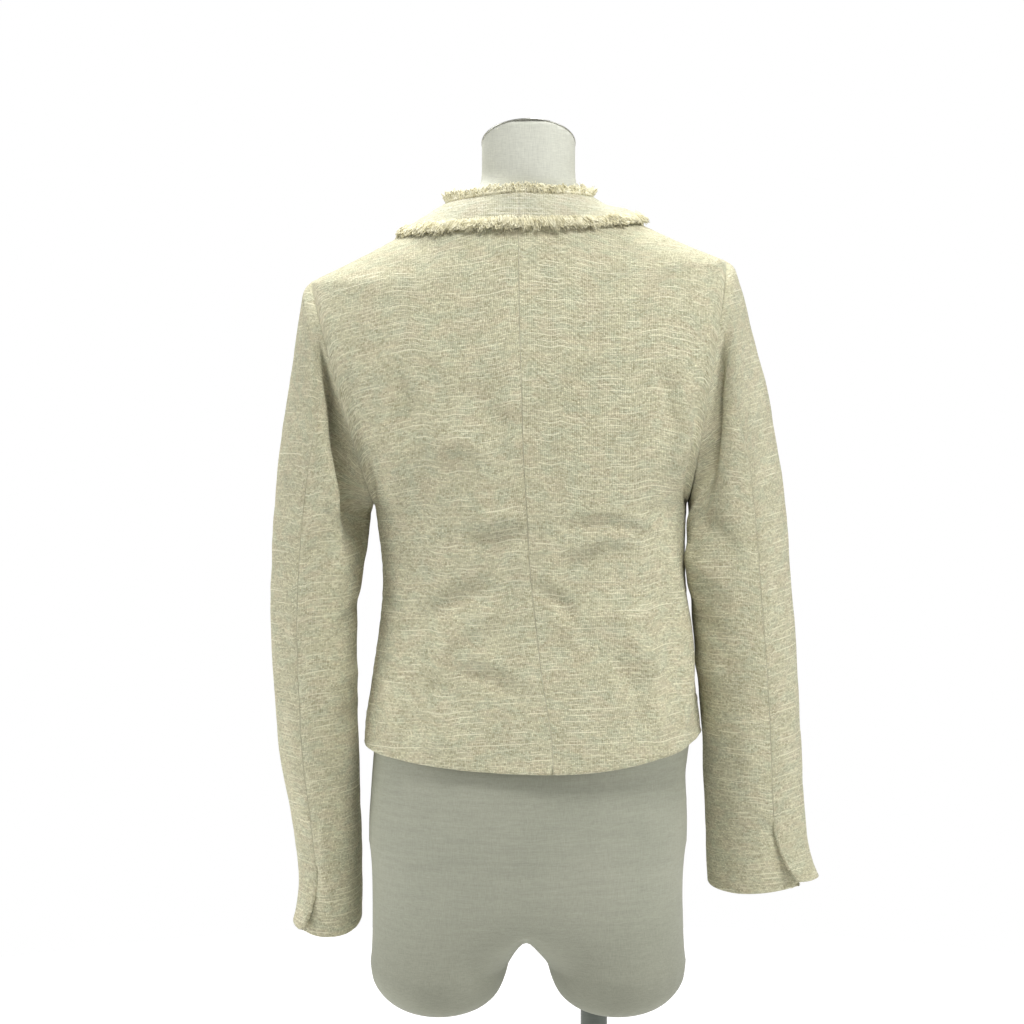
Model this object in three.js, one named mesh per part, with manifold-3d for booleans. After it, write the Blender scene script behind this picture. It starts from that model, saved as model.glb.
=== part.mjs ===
// A tweed jacket with a wide frayed-edge collar, worn by a limbless dress form on a pole and a round base.
// Millimetres, +Z up, the jacket's front faces -Y and the wearer's left is +X.
// The origin is the centre of the base plate's underside.

import * as THREE from 'three';
import { mergeVertices } from 'three/addons/utils/BufferGeometryUtils.js';
import Module from 'manifold-3d';

const wasm = await Module();
wasm.setup();

// ---------------------------------------------------------------- driving dimensions

const CLOTH = 2;              // thickness of the tweed
const SEAM = 0.3;             // gap between two pieces at a seam
const REST_GAP = 0.6;         // jacket to form where the shoulders carry it
const ROUNDNESS = 2.2;        // exponent of the oval rings, 2 is an ellipse

const LEFT = 1;
const RIGHT = -1;
const BACK = 1;
const FRONT = -1;

// The jacket's body as level rings: x of the centre seams, half widths from x = 0, and depths from y = 0.
const BODY = [
  { z: 548, seam: -22, left: 148, right: 159, back: 101, front: 107 },
  { z: 596, seam: -20, left: 149, right: 157, back: 98, front: 105 },
  { z: 640, seam: -13, left: 144, right: 153.5, back: 93, front: 101 },
  { z: 680, seam: -8, left: 138, right: 150, back: 88, front: 97 },
  { z: 723, seam: -3, left: 134, right: 145.5, back: 85, front: 96 },
  { z: 760, seam: 0, left: 136, right: 144, back: 89, front: 102 },
  { z: 798, seam: 2, left: 141.5, right: 146, back: 93, front: 108 },
  { z: 850, seam: 5, left: 150, right: 150, back: 96, front: 116 },
  { z: 900, seam: 6.5, left: 155, right: 155, back: 95, front: 114 },
  { z: 950, seam: 8, left: 160, right: 160, back: 88, front: 102 },
  { z: 1000, seam: 9, left: 165, right: 165, back: 76, front: 78 },
  { z: 1040, seam: 9, left: 120, right: 130, back: 63, front: 50 },
  { z: 1060, seam: 9, left: 89, right: 87, back: 56, front: 38 },
  { z: 1090, seam: 9, left: 30, right: 30, back: 42, front: 20 },
];

// The shoulder seams: distance of each from x = 0 at a height.
const SHOULDER = {
  [LEFT]: [
    { z: 1001, x: 198 },
    { z: 1019, x: 160 },
    { z: 1040, x: 120 },
    { z: 1052, x: 101 },
    { z: 1065, x: 82 },
    { z: 1072, x: 70 },
    { z: 1079, x: 52 },
    { z: 1087, x: 22 },
  ],
  [RIGHT]: [
    { z: 1020, x: 180 },
    { z: 1028, x: 158 },
    { z: 1040, x: 130 },
    { z: 1053, x: 102 },
    { z: 1062, x: 83 },
    { z: 1069, x: 68 },
    { z: 1078, x: 52 },
    { z: 1086, x: 22 },
  ],
};

// Each armhole is an oval in a sloping plane, from the shoulder tip to the underarm point.
const ARMHOLE = {
  [LEFT]: { tipX: 198, tipZ: 1001, underX: 141.5, underZ: 797, halfDepth: 56 },
  [RIGHT]: { tipX: 180, tipZ: 1020, underX: 146, underZ: 799, halfDepth: 56 },
};

// Heights of the row lines on the centre seams (back, front) and at the side seams.
const HEM = { [BACK]: 566, [FRONT]: 570, [LEFT]: 577, [RIGHT]: 587 };
const UNDER_ROW = 798;
const TIP_ROW = { [BACK]: 1010, [FRONT]: 965 };
const NECKLINE = { x: 8, halfWidth: 62, [BACK]: 46, [FRONT]: 50 };

// Rows of a panel: below the armhole, beside it, and above it; columns from centre seam to side.
const LOW_ROWS = 7;
const ARM_ROWS = 10;
const TOP_ROWS = 4;
const COLUMNS = 8;

// The collar lies on the top rows, from the neckline (share 1) to its outer edge.
const COLLAR = { edgeShare: 0.6, fringeShare: 0.48, joinColumn: 0.055, rows: 3 };
const COLLAR_LIFT = { neck: REST_GAP, roll: 3, edge: 5.5 };
const FRINGE = 3;             // thickness of the frayed edges
const NECK_FRINGE = { rise: 12, lean: 1.2 };

// The sleeves as ovals: outer and inner ends, middle and half depth in y, and how far the back edge drops.
const SLEEVE = {
  [LEFT]: [
    { outX: 205, outZ: 988, inX: 144.5, inZ: 790, y: 0, depth: 58, drop: 0 },
    { outX: 209.5, outZ: 964, inX: 145, inZ: 784, y: 1, depth: 59.5, drop: 0 },
    { outX: 216.5, outZ: 921, inX: 146, inZ: 777, y: 2, depth: 59, drop: 0 },
    { outX: 223, outZ: 880, inX: 147, inZ: 768, y: 2, depth: 56.5, drop: 0 },
    { outX: 229.5, outZ: 835, inX: 148.5, inZ: 757, y: 1, depth: 54, drop: 0 },
    { outX: 234.5, outZ: 781, inX: 152, inZ: 737, y: 0, depth: 52.5, drop: 1 },
    { outX: 237.5, outZ: 713, inX: 156.5, inZ: 700, y: -2, depth: 51.5, drop: 2 },
    { outX: 237.5, outZ: 666, inX: 158.5, inZ: 662, y: -6, depth: 51, drop: 3 },
    { outX: 234.8, outZ: 617, inX: 158.5, inZ: 617, y: -12, depth: 50.5, drop: 5 },
    { outX: 232.5, outZ: 567, inX: 158.2, inZ: 567, y: -20, depth: 49.5, drop: 6 },
    { outX: 224, outZ: 512, inX: 157.5, inZ: 512, y: -29, depth: 48, drop: 7 },
    { outX: 218, outZ: 466, inX: 157, inZ: 466, y: -36, depth: 47, drop: 8 },
    { outX: 211, outZ: 402, inX: 157.5, inZ: 402, y: -44, depth: 46.5, drop: 8.5 },
  ],
  [RIGHT]: [
    { outX: 188, outZ: 1010, inX: 147.5, inZ: 793, y: 0, depth: 58, drop: 0 },
    { outX: 196, outZ: 989, inX: 148, inZ: 787, y: 1, depth: 59.5, drop: 0 },
    { outX: 204.5, outZ: 953, inX: 148.5, inZ: 780, y: 2, depth: 58.5, drop: 0 },
    { outX: 217, outZ: 908, inX: 149, inZ: 771, y: 2, depth: 55.5, drop: 0 },
    { outX: 227.5, outZ: 855, inX: 149.5, inZ: 760, y: 1, depth: 52.5, drop: 0 },
    { outX: 236, outZ: 795, inX: 148, inZ: 742, y: 0, depth: 50.5, drop: 1 },
    { outX: 243, outZ: 722, inX: 150.5, inZ: 706, y: -2, depth: 49.5, drop: 2 },
    { outX: 248, outZ: 665, inX: 155, inZ: 660, y: -5, depth: 48.5, drop: 3 },
    { outX: 251.5, outZ: 620, inX: 159.3, inZ: 618, y: -9, depth: 47, drop: 4 },
    { outX: 254.5, outZ: 572, inX: 162.5, inZ: 572, y: -14, depth: 45, drop: 5 },
    { outX: 257.5, outZ: 530, inX: 164.5, inZ: 530, y: -19, depth: 41.5, drop: 6 },
    { outX: 260.5, outZ: 500, inX: 166.5, inZ: 500, y: -23, depth: 38.5, drop: 6 },
    { outX: 264, outZ: 439.5, inX: 169.5, inZ: 439.5, y: -29, depth: 33.5, drop: 6 },
  ],
};
const AROUND = 2 * ARM_ROWS;  // steps round a sleeve
const BACK_SEAM = 4;          // step of the hind-arm seam, a fifth of the way round from the outer line
const FRONT_SEAM = 13;        // step of the fore-arm seam
const VENT_OPENING = 12;      // how far the cuff vent stands open at the edge

// The form below the jacket as level rings, and its two thigh stubs.
const HIPS = [
  { z: 394, left: 148, right: 146, back: 94, front: 84 },
  { z: 450, left: 148.5, right: 147, back: 98, front: 88 },
  { z: 505, left: 148, right: 148, back: 98, front: 91 },
  { z: 548, left: 145, right: 146, back: 95, front: 95 },
];
const FORM_EASE = [
  { z: 560, ease: 4 },
  { z: 700, ease: 7 },
  { z: 850, ease: 5 },
  { z: 960, ease: 3 },
  { z: 1005, ease: 1.8 },
  { z: 1035, ease: REST_GAP },
];
const NECK = [
  { z: 1088, slope: 0.3, halfWidth: 45.5, back: 42.5, front: 44 },
  { z: 1106.5, slope: 0.38, halfWidth: 43.5, back: 41.7, front: 43.5 },
  { z: 1125, slope: 0.43, halfWidth: 41.5, back: 41, front: 43 },
];
const STUB = [
  { z: 330, inner: 55, outer: 108, depth: 44 },
  { z: 334, inner: 40, outer: 124, depth: 62 },
  { z: 343, inner: 28, outer: 137, depth: 75 },
  { z: 357, inner: 21, outer: 145.5, depth: 82 },
  { z: 375, inner: 16, outer: 147.5, depth: 85 },
  { z: 392, inner: 7, outer: 147.5, depth: 86 },
  { z: 430, inner: 1, outer: 147, depth: 87 },
];
const SHOULDER_END = 4;       // the form's shoulder ends lie this much further in
const STUB_Y = 4;
const STUB_STEPS = 20;
const CAP = { thickness: 3, overhang: 0.8 };

const POLE = { x: -61.6, radius: 12.5, top: 372 };
const PLATE = { radius: 170, height: 8, chamfer: 2 };
const SOCKET = { radius: 22, height: 32 };
const ROUND_STEPS = 32;

const PAINT = {
  tweed: { color: 0xc3c1a6, roughness: 0.95, metalness: 0 },
  collarTweed: { color: 0xdcdbc4, roughness: 0.95, metalness: 0 },
  fringe: { color: 0xcfccab, roughness: 1, metalness: 0 },
  linen: { color: 0xb4b4a3, roughness: 0.9, metalness: 0 },
  cap: { color: 0xbdbdb8, roughness: 0.35, metalness: 1 },
  steel: { color: 0x6a6e67, roughness: 0.4, metalness: 1 },
};

// ---------------------------------------------------------------- small helpers

const object = new THREE.Group();
const vec = (x, y, z) => new THREE.Vector3(x, y, z);
const mix = (a, b, t) => a + (b - a) * t;
const ease = (t) => t * t * (3 - 2 * t);
const range = (count) => Array.from({ length: count }, (_, i) => i);

// A column of a table at z, as a smooth curve through its rows (which rise in z).
function at(table, column, z) {
  const last = table.length - 1;
  let i = 0;
  while (i < last - 1 && z > table[i + 1].z) i += 1;
  const slope = (k) => {
    const a = table[Math.max(k - 1, 0)];
    const b = table[Math.min(k + 1, last)];
    return (b[column] - a[column]) / (b.z - a.z);
  };
  const span = table[i + 1].z - table[i].z;
  const t = Math.min(Math.max((z - table[i].z) / span, 0), 1);
  const rise = table[i + 1][column] - table[i][column];
  const curve = t * (1 - t) * ((1 - t) * (slope(i) * span - rise) + t * (rise - slope(i + 1) * span));
  return table[i][column] + rise * t + curve;
}

function add(name, geometry, paint) {
  const mesh = new THREE.Mesh(geometry, new THREE.MeshStandardMaterial(PAINT[paint]));
  mesh.name = name;
  object.add(mesh);
  return mesh;
}

function geometryOf(points, faces) {
  const geometry = new THREE.BufferGeometry().setFromPoints(points);
  const volume = faces.reduce((sum, [a, b, c]) => {
    return sum + points[a].dot(vec(0, 0, 0).crossVectors(points[b], points[c]));
  }, 0);
  const outward = volume > 0 ? faces : faces.map(([a, b, c]) => [a, c, b]);
  geometry.setIndex(outward.flat());
  return geometry;
}

// A closed wall between two grids of points with the same rows and columns.
function wall(outer, inner) {
  const rows = outer.length;
  const columns = outer[0].length;
  const points = [...outer.flat(), ...inner.flat()];
  const front = (r, c) => r * columns + c;
  const behind = (r, c) => rows * columns + front(r, c);
  const faces = [];
  const quad = (a, b, c, d) => faces.push([a, b, c], [a, c, d]);
  for (const r of range(rows - 1)) {
    for (const c of range(columns - 1)) {
      quad(front(r, c), front(r, c + 1), front(r + 1, c + 1), front(r + 1, c));
      quad(behind(r, c), behind(r + 1, c), behind(r + 1, c + 1), behind(r, c + 1));
    }
    quad(front(r, 0), front(r + 1, 0), behind(r + 1, 0), behind(r, 0));
    quad(front(r + 1, columns - 1), front(r, columns - 1), behind(r, columns - 1), behind(r + 1, columns - 1));
  }
  for (const c of range(columns - 1)) {
    quad(front(0, c + 1), front(0, c), behind(0, c), behind(0, c + 1));
    quad(front(rows - 1, c), front(rows - 1, c + 1), behind(rows - 1, c + 1), behind(rows - 1, c));
  }
  return geometryOf(points, faces);
}

// A solid through closed rings with the same number of points, capped at both ends.
// Quads are split from their near corner, or the other way at the steps that crossed() names.
function loft(rings, crossed = () => false) {
  const steps = rings[0].length;
  const points = rings.flat();
  const faces = [];
  for (const r of range(rings.length - 1)) {
    for (const i of range(steps)) {
      const a = r * steps + i;
      const b = r * steps + ((i + 1) % steps);
      if (crossed(i)) faces.push([a, b, a + steps], [b, b + steps, a + steps]);
      else faces.push([a, b, b + steps], [a, b + steps, a + steps]);
    }
  }
  const cap = (first, flip) => {
    const centre = points.length;
    const middle = vec(0, 0, 0);
    for (const i of range(steps)) middle.addScaledVector(points[first + i], 1 / steps);
    points.push(middle);
    for (const i of range(steps)) {
      const face = [centre, first + ((i + 1) % steps), first + i];
      faces.push(flip ? [face[0], face[2], face[1]] : face);
    }
  };
  cap(0, false);
  cap((rings.length - 1) * steps, true);
  return geometryOf(points, faces);
}

function manifoldOf(geometry) {
  const bare = geometry.clone();
  bare.deleteAttribute('normal');
  bare.deleteAttribute('uv');
  const merged = mergeVertices(bare, 1e-4);
  const mesh = new wasm.Mesh({
    numProp: 3,
    vertProperties: new Float32Array(merged.attributes.position.array),
    triVerts: new Uint32Array(merged.index.array),
  });
  mesh.merge();
  return new wasm.Manifold(mesh);
}

function fromManifold(solid) {
  const { vertProperties, triVerts, numProp } = solid.getMesh();
  const geometry = new THREE.BufferGeometry();
  const positions = new Float32Array((vertProperties.length / numProp) * 3);
  for (const i of range(positions.length / 3)) {
    for (const k of range(3)) positions[3 * i + k] = vertProperties[numProp * i + k];
  }
  geometry.setAttribute('position', new THREE.BufferAttribute(positions, 3));
  geometry.setIndex([...triVerts]);
  return geometry;
}

// ---------------------------------------------------------------- the jacket's body surface

const sideName = { [LEFT]: 'left', [RIGHT]: 'right' };
const faceName = { [BACK]: 'back', [FRONT]: 'front' };

// The armhole's edge at a height: x from the middle plane and half depth in y.
function armholeEdge(side, z) {
  const hole = ARMHOLE[side];
  const share = Math.min(Math.max((z - hole.underZ) / (hole.tipZ - hole.underZ), 0), 1);
  const halfDepth = hole.halfDepth * Math.sqrt(Math.max(1 - (2 * share - 1) ** 2, 0));
  return { x: mix(hole.underX, hole.tipX, share), halfDepth };
}

// Half width of the oval ring that a panel follows at a height, and the angle where the panel ends.
function ringOf(side, face, z) {
  const hole = ARMHOLE[side];
  const seam = at(BODY, 'seam', z);
  const depth = at(BODY, faceName[face], z);
  if (z <= hole.underZ) return { seam, depth, width: at(BODY, sideName[side], z) - side * seam, end: 0 };
  if (z >= hole.tipZ) return { seam, depth, width: at(SHOULDER[side], 'x', z) - side * seam, end: 0 };
  const edge = armholeEdge(side, z);
  const sine = (edge.halfDepth / depth) ** (ROUNDNESS / 2);
  const cosine = Math.sqrt(1 - sine * sine);
  return { seam, depth, width: (edge.x - side * seam) / cosine ** (2 / ROUNDNESS), end: Math.asin(sine) };
}

// A point of the outer surface: angle 0 is the side, a quarter turn is the centre seam.
function surface(side, face, angle, z) {
  const { seam, depth, width } = ringOf(side, face, z);
  const across = width * Math.max(Math.cos(angle), 0) ** (2 / ROUNDNESS);
  const out = depth * Math.max(Math.sin(angle), 0) ** (2 / ROUNDNESS);
  return vec(seam + side * across, face * out, z);
}

function surfaceNormal(side, face, angle, z) {
  const hole = ARMHOLE[side];
  const step = 0.5;
  const turn = 0.01;
  const up = z <= hole.underZ + 0.01 ? 0 : step;
  const down = z >= hole.tipZ - 0.01 && z <= hole.tipZ + 0.01 ? 0 : step;
  const a = Math.min(Math.max(angle, turn), Math.PI / 2 - turn);
  const round = surface(side, face, a + turn, z).sub(surface(side, face, a - turn, z));
  if (angle < turn) round.set(0, 1, 0);
  if (angle > Math.PI / 2 - turn) round.set(1, 0, 0);
  const rise = surface(side, face, angle, z + up).sub(surface(side, face, angle, z - down));
  const normal = vec(0, 0, 0).crossVectors(round, rise).normalize();
  const away = vec(side * Math.cos(angle), face * Math.sin(angle), 0.3);
  return normal.dot(away) < 0 ? normal.negate() : normal;
}

// Angle and height on the neckline, an oval seen from above, for a share from centre seam to shoulder.
function necklineAt(side, face, share) {
  const seam = BODY[BODY.length - 1].seam;
  const start = Math.acos((seam - NECKLINE.x) / NECKLINE.halfWidth);
  const turn = mix(start, side === LEFT ? 0 : Math.PI, share);
  const x = NECKLINE.x + NECKLINE.halfWidth * Math.cos(turn);
  const y = NECKLINE[face] * Math.sin(turn) / (share === 0 ? Math.sin(start) : 1);
  const beyond = (z) => {
    const ring = ringOf(side, face, z);
    return (Math.abs(x - ring.seam) / ring.width) ** ROUNDNESS + (y / ring.depth) ** ROUNDNESS > 1;
  };
  let low = ARMHOLE[side].tipZ;
  let high = BODY[BODY.length - 1].z - 4;
  while (high - low > 1e-6) {
    const middle = (low + high) / 2;
    if (beyond(middle)) high = middle;
    else low = middle;
  }
  const sine = Math.min((y / ringOf(side, face, low).depth) ** (ROUNDNESS / 2), 1);
  return { angle: share === 1 ? 0 : Math.asin(sine), z: low };
}

// The place (angle, height) on a panel: row counted up from the hem, share from centre seam to side.
function place(side, face, row, share) {
  const hole = ARMHOLE[side];
  if (row <= LOW_ROWS) {
    const t = row / LOW_ROWS;
    const z = mix(mix(HEM[face], UNDER_ROW, t), mix(HEM[side], hole.underZ, t), ease(share));
    return { angle: (Math.PI / 2) * (1 - share), z };
  }
  if (row <= LOW_ROWS + ARM_ROWS) {
    const t = (1 - Math.cos((Math.PI * (row - LOW_ROWS)) / ARM_ROWS)) / 2;
    const sideZ = mix(hole.underZ, hole.tipZ, t);
    const z = mix(mix(UNDER_ROW, TIP_ROW[face], t), sideZ, ease(share));
    const end = ringOf(side, face, sideZ).end;
    return { angle: mix(Math.PI / 2, end, share), z };
  }
  const t = (row - LOW_ROWS - ARM_ROWS) / TOP_ROWS;
  const tip = place(side, face, LOW_ROWS + ARM_ROWS, share);
  const neck = necklineAt(side, face, share);
  return { angle: mix(tip.angle, neck.angle, t), z: mix(tip.z, neck.z, t) };
}

function bodyPoint(side, face, row, share) {
  const { angle, z } = place(side, face, row, share);
  return { point: surface(side, face, angle, z), normal: surfaceNormal(side, face, angle, z) };
}

// ---------------------------------------------------------------- sleeves

// Points of a sleeve, ring by ring; ring 0 is the armhole and step 0 is the outer line, counted to the back.
function sleeveGrid(side) {
  const hole = ARMHOLE[side];
  const outward = vec(side * (hole.tipZ - hole.underZ), 0, hole.underX - hole.tipX).normalize();
  const rings = [
    {
      outX: hole.tipX, outZ: hole.tipZ, inX: hole.underX, inZ: hole.underZ,
      y: 0, depth: hole.halfDepth, drop: 0, shift: SEAM / 2,
    },
    ...SLEEVE[side],
  ];
  return rings.map((ring) => range(AROUND).map((step) => {
    const turn = (2 * Math.PI * step) / AROUND;
    const t = (1 + Math.cos(turn)) / 2;
    const point = vec(
      side * mix(ring.inX, ring.outX, t),
      ring.y + ring.depth * Math.sin(turn),
      mix(ring.inZ, ring.outZ, t) - ring.drop * Math.sin(turn),
    );
    return point.addScaledVector(outward, ring.shift ?? 0);
  }));
}

function sleeveNormals(grid, side) {
  const last = grid.length - 1;
  return grid.map((ring, r) => ring.map((_, i) => {
    const along = grid[Math.min(r + 1, last)][i].clone().sub(grid[Math.max(r - 1, 0)][i]);
    const round = ring[(i + 1) % AROUND].clone().sub(ring[(i + AROUND - 1) % AROUND]);
    return vec(0, 0, 0).crossVectors(along, round).multiplyScalar(side).normalize();
  }));
}

const sleeves = {};
for (const side of [LEFT, RIGHT]) {
  const grid = sleeveGrid(side);
  sleeves[side] = { grid, normals: sleeveNormals(grid, side) };
}

// At the armhole the two walls share one mitred direction, unless they meet at a sharp fold.
function mitre(own, other) {
  const cosine = own.dot(other);
  if (cosine < 0.2) return own.clone().multiplyScalar(CLOTH);
  const half = Math.sqrt((1 + cosine) / 2);
  return own.clone().add(other).normalize().multiplyScalar(CLOTH / half);
}

// A wall whose first and last columns are moved in by half a seam, towards the next column.
function pieceWall(points, inner, half = SEAM / 2) {
  const last = points[0].length - 1;
  const moved = [points, inner].map((grid) => grid.map((line) => line.map((p) => p.clone())));
  points.forEach((line, r) => {
    for (const [edge, next] of [[0, 1], [last, last - 1]]) {
      const shift = line[next].clone().sub(line[edge]).setLength(half);
      for (const grid of moved) grid[r][edge].add(shift);
    }
  });
  return wall(...moved);
}

// ---------------------------------------------------------------- the pieces of the jacket

function bodyPanel(side, face) {
  const rows = LOW_ROWS + ARM_ROWS + TOP_ROWS;
  const places = range(rows + 1).map((r) => range(COLUMNS + 1).map((c) => {
    return bodyPoint(side, face, r, c / COLUMNS);
  }));
  const outer = places.map((line) => line.map(({ point }) => point));
  const inner = places.map((line, r) => line.map(({ point, normal }, c) => {
    const armRow = r - LOW_ROWS;
    const onArmhole = c === COLUMNS && armRow > 0 && armRow <= ARM_ROWS;
    if (!onArmhole) return point.clone().addScaledVector(normal, -CLOTH);
    const step = face === BACK ? ARM_ROWS - armRow : (ARM_ROWS + armRow) % AROUND;
    return point.clone().sub(mitre(normal, sleeves[side].normals[0][step]));
  }));
  const name = `${faceName[face]}_${sideName[side]}`;
  add(name, pieceWall(outer, inner), 'tweed');
}

function sleevePiece(side, name, first, count) {
  const { grid, normals } = sleeves[side];
  const isTop = name === 'sleeve_top';
  const steps = range(count + 1).map((i) => (first + i) % AROUND);
  const outer = grid.map((ring) => steps.map((step) => ring[step].clone()));
  const inner = grid.map((ring, r) => steps.map((step) => {
    const point = ring[step].clone();
    if (r > 0) return point.addScaledVector(normals[r][step], -CLOTH);
    const face = step <= ARM_ROWS ? BACK : FRONT;
    const row = LOW_ROWS + Math.abs(ARM_ROWS - step);
    const body = bodyPoint(side, face, row, 1).normal;
    return point.sub(mitre(normals[0][step], body));
  }));
  if (isTop) {
    const edge = outer.length - 1;
    const last = steps.length - 1;
    const shift = outer[edge][last - 1].clone().sub(outer[edge][last]).setLength(VENT_OPENING);
    outer[edge][last].add(shift);
    inner[edge][last].add(shift);
    for (const grid2 of [outer, inner]) {
      grid2[edge][last - 1].lerp(grid2[edge][last - 2], 0.45);
    }
  }
  add(`${name}_${sideName[side]}`, pieceWall(outer, inner, SEAM), 'tweed');
}

// Columns of a collar half, from the join near the back seam round to the centre front.
function collarColumns(side) {
  const start = { side: RIGHT, face: BACK, share: COLLAR.joinColumn };
  const back = range(COLUMNS).map((i) => ({ side, face: BACK, share: (i + 1) / COLUMNS }));
  const front = range(COLUMNS).map((i) => ({ side, face: FRONT, share: (COLUMNS - 1 - i) / COLUMNS }));
  return [start, ...back, ...front];
}

// A strip that lies on the body between two shares of the top rows, lifted by the given heights.
function strip(side, shares, lifts, thickness) {
  const columns = collarColumns(side);
  const lay = (extra) => shares.map((share, i) => columns.map((column) => {
    const row = LOW_ROWS + ARM_ROWS + share * TOP_ROWS;
    const { point, normal } = bodyPoint(column.side, column.face, row, column.share);
    return point.addScaledVector(normal, lifts[i] + extra);
  }));
  return { outer: lay(thickness), inner: lay(0) };
}

function collar(side) {
  const shares = [1, 0.9, 0.75, COLLAR.edgeShare];
  const { neck, roll, edge } = COLLAR_LIFT;
  const { outer, inner } = strip(side, shares, [neck, mix(neck, roll, 0.6), roll, edge], CLOTH);
  add(`collar_${sideName[side]}`, pieceWall(outer, inner), 'collarTweed');
}

function outerFringe(side) {
  const gap = 0.006;
  const shares = [COLLAR.edgeShare - gap, COLLAR.fringeShare];
  const { edge } = COLLAR_LIFT;
  const { outer, inner } = strip(side, shares, [edge, edge - 2.5], FRINGE);
  add(`outer_fringe_${sideName[side]}`, pieceWall(outer, inner), 'fringe');
}

// The frayed neck edge stands on the collar's upper edge and leans in towards the neck.
function neckFringe(side) {
  const top = LOW_ROWS + ARM_ROWS + TOP_ROWS;
  const edge = collarColumns(side).map((column) => {
    const { point, normal } = bodyPoint(column.side, column.face, top, column.share);
    const below = bodyPoint(column.side, column.face, top - 0.2, column.share).point;
    const upward = point.clone().sub(below).setLength(SEAM);
    const inward = vec(NECKLINE.x - point.x, -point.y, 0).normalize();
    return { point: point.clone().add(upward), normal, inward };
  });
  const line = (out, height, lean) => edge.map(({ point, normal, inward }) => {
    const base = point.clone().addScaledVector(normal, COLLAR_LIFT.neck + out);
    return base.addScaledVector(inward, lean).add(vec(0, 0, height));
  });
  const outer = [line(CLOTH, 0, 0), line(CLOTH, NECK_FRINGE.rise, NECK_FRINGE.lean)];
  const inner = [line(0, 0, 0), line(0, NECK_FRINGE.rise, NECK_FRINGE.lean)];
  add(`neck_fringe_${sideName[side]}`, pieceWall(outer, inner), 'fringe');
}

for (const side of [LEFT, RIGHT]) {
  for (const face of [BACK, FRONT]) bodyPanel(side, face);
  sleevePiece(side, 'sleeve_top', FRONT_SEAM, AROUND - FRONT_SEAM + BACK_SEAM);
  sleevePiece(side, 'sleeve_under', BACK_SEAM, FRONT_SEAM - BACK_SEAM);
  collar(side);
  outerFringe(side);
  neckFringe(side);
}

// ---------------------------------------------------------------- the dress form

// Stations round a ring of the form: back seam, left side, front, right side.
function stations() {
  const down = range(COLUMNS).map((i) => i / COLUMNS);
  const up = down.slice(1).reverse();
  return [
    ...down.map((share) => ({ side: LEFT, face: BACK, share })),
    { side: LEFT, face: 0, share: 1 },
    ...[...up, 0].map((share) => ({ side: LEFT, face: FRONT, share })),
    ...down.slice(1).map((share) => ({ side: RIGHT, face: FRONT, share })),
    { side: RIGHT, face: 0, share: 1 },
    ...up.map((share) => ({ side: RIGHT, face: BACK, share })),
  ];
}

// A ring under the jacket, its surface moved in by the cloth and the ease at that height.
// Beside the armholes the form's rounded ends lie further in.
function ringUnder(row) {
  const tipRow = LOW_ROWS + ARM_ROWS;
  const inside = ({ side, face, share }) => {
    const { point, normal } = bodyPoint(side, face, row, share);
    const nearTip = share > 0.8 && Math.abs(row - tipRow) <= 1 ? SHOULDER_END : 0;
    const gap = at(FORM_EASE, 'ease', Math.min(point.z, 1035)) + nearTip;
    return point.addScaledVector(normal, -CLOTH - gap);
  };
  return stations().map((station) => {
    if (station.face !== 0) return inside(station);
    const back = inside({ ...station, face: BACK });
    const front = inside({ ...station, face: FRONT });
    const end = row >= LOW_ROWS && row <= tipRow ? SHOULDER_END : 0;
    return back.lerp(front, 0.5).add(vec(-station.side * end, 0, -end));
  });
}

// A free ring of the form: an oval of the given half widths and depths, which may slope.
function freeRing({ z, left, right, back, front, slope = 0 }) {
  return stations().map(({ side, face, share }) => {
    const angle = (Math.PI / 2) * (1 - share);
    const width = side === LEFT ? left : right;
    const depth = face === BACK ? back : front;
    const x = side * width * Math.cos(angle) ** (2 / ROUNDNESS);
    const y = face * depth * Math.sin(angle) ** (2 / ROUNDNESS);
    return vec(x, y, z + slope * y);
  });
}

function neckRings() {
  return NECK.map(({ halfWidth, ...ring }) => freeRing({ ...ring, left: halfWidth, right: halfWidth }));
}

function formBody() {
  const rows = LOW_ROWS + ARM_ROWS + TOP_ROWS;
  const torso = loft([
    ...HIPS.map((ring) => freeRing(ring)),
    ...range(rows + 1).map((row) => ringUnder(row)),
    ...neckRings(),
  ], (i) => {
    const quarter = Math.floor(i / COLUMNS);
    return quarter === 1 || quarter === 3;
  });
  let solid = manifoldOf(torso);
  for (const side of [LEFT, RIGHT]) {
    const rings = STUB.map(({ z, inner, outer, depth }) => range(STUB_STEPS).map((i) => {
      const turn = (2 * Math.PI * i) / STUB_STEPS;
      const x = side * (mix(inner, outer, 0.5) + ((outer - inner) / 2) * Math.cos(turn));
      return vec(x, STUB_Y + depth * Math.sin(turn), z);
    }));
    solid = solid.add(manifoldOf(loft(rings)));
  }
  const bore = new THREE.CylinderGeometry(POLE.radius + SEAM, POLE.radius + SEAM, 100, ROUND_STEPS);
  bore.rotateX(Math.PI / 2);
  bore.translate(POLE.x, 0, POLE.top + SEAM - 50);
  add('form_body', fromManifold(solid.subtract(manifoldOf(bore))), 'linen');
}

function neckCap() {
  const top = neckRings().at(-1);
  const slope = NECK.at(-1).slope;
  const normal = vec(0, -slope, 1).normalize();
  const ring = (rise, grow) => top.map((point) => {
    const out = vec(point.x, point.y, 0).setLength(grow);
    out.z = slope * out.y;
    return point.clone().add(out).addScaledVector(normal, rise);
  });
  add('neck_cap', loft([ring(SEAM, CAP.overhang), ring(SEAM + CAP.thickness, CAP.overhang)]), 'cap');
}

// ---------------------------------------------------------------- the stand

function turned(profile) {
  const geometry = new THREE.LatheGeometry(profile.map(([r, z]) => new THREE.Vector2(r, z)), ROUND_STEPS);
  geometry.rotateX(Math.PI / 2);
  return geometry;
}

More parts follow.
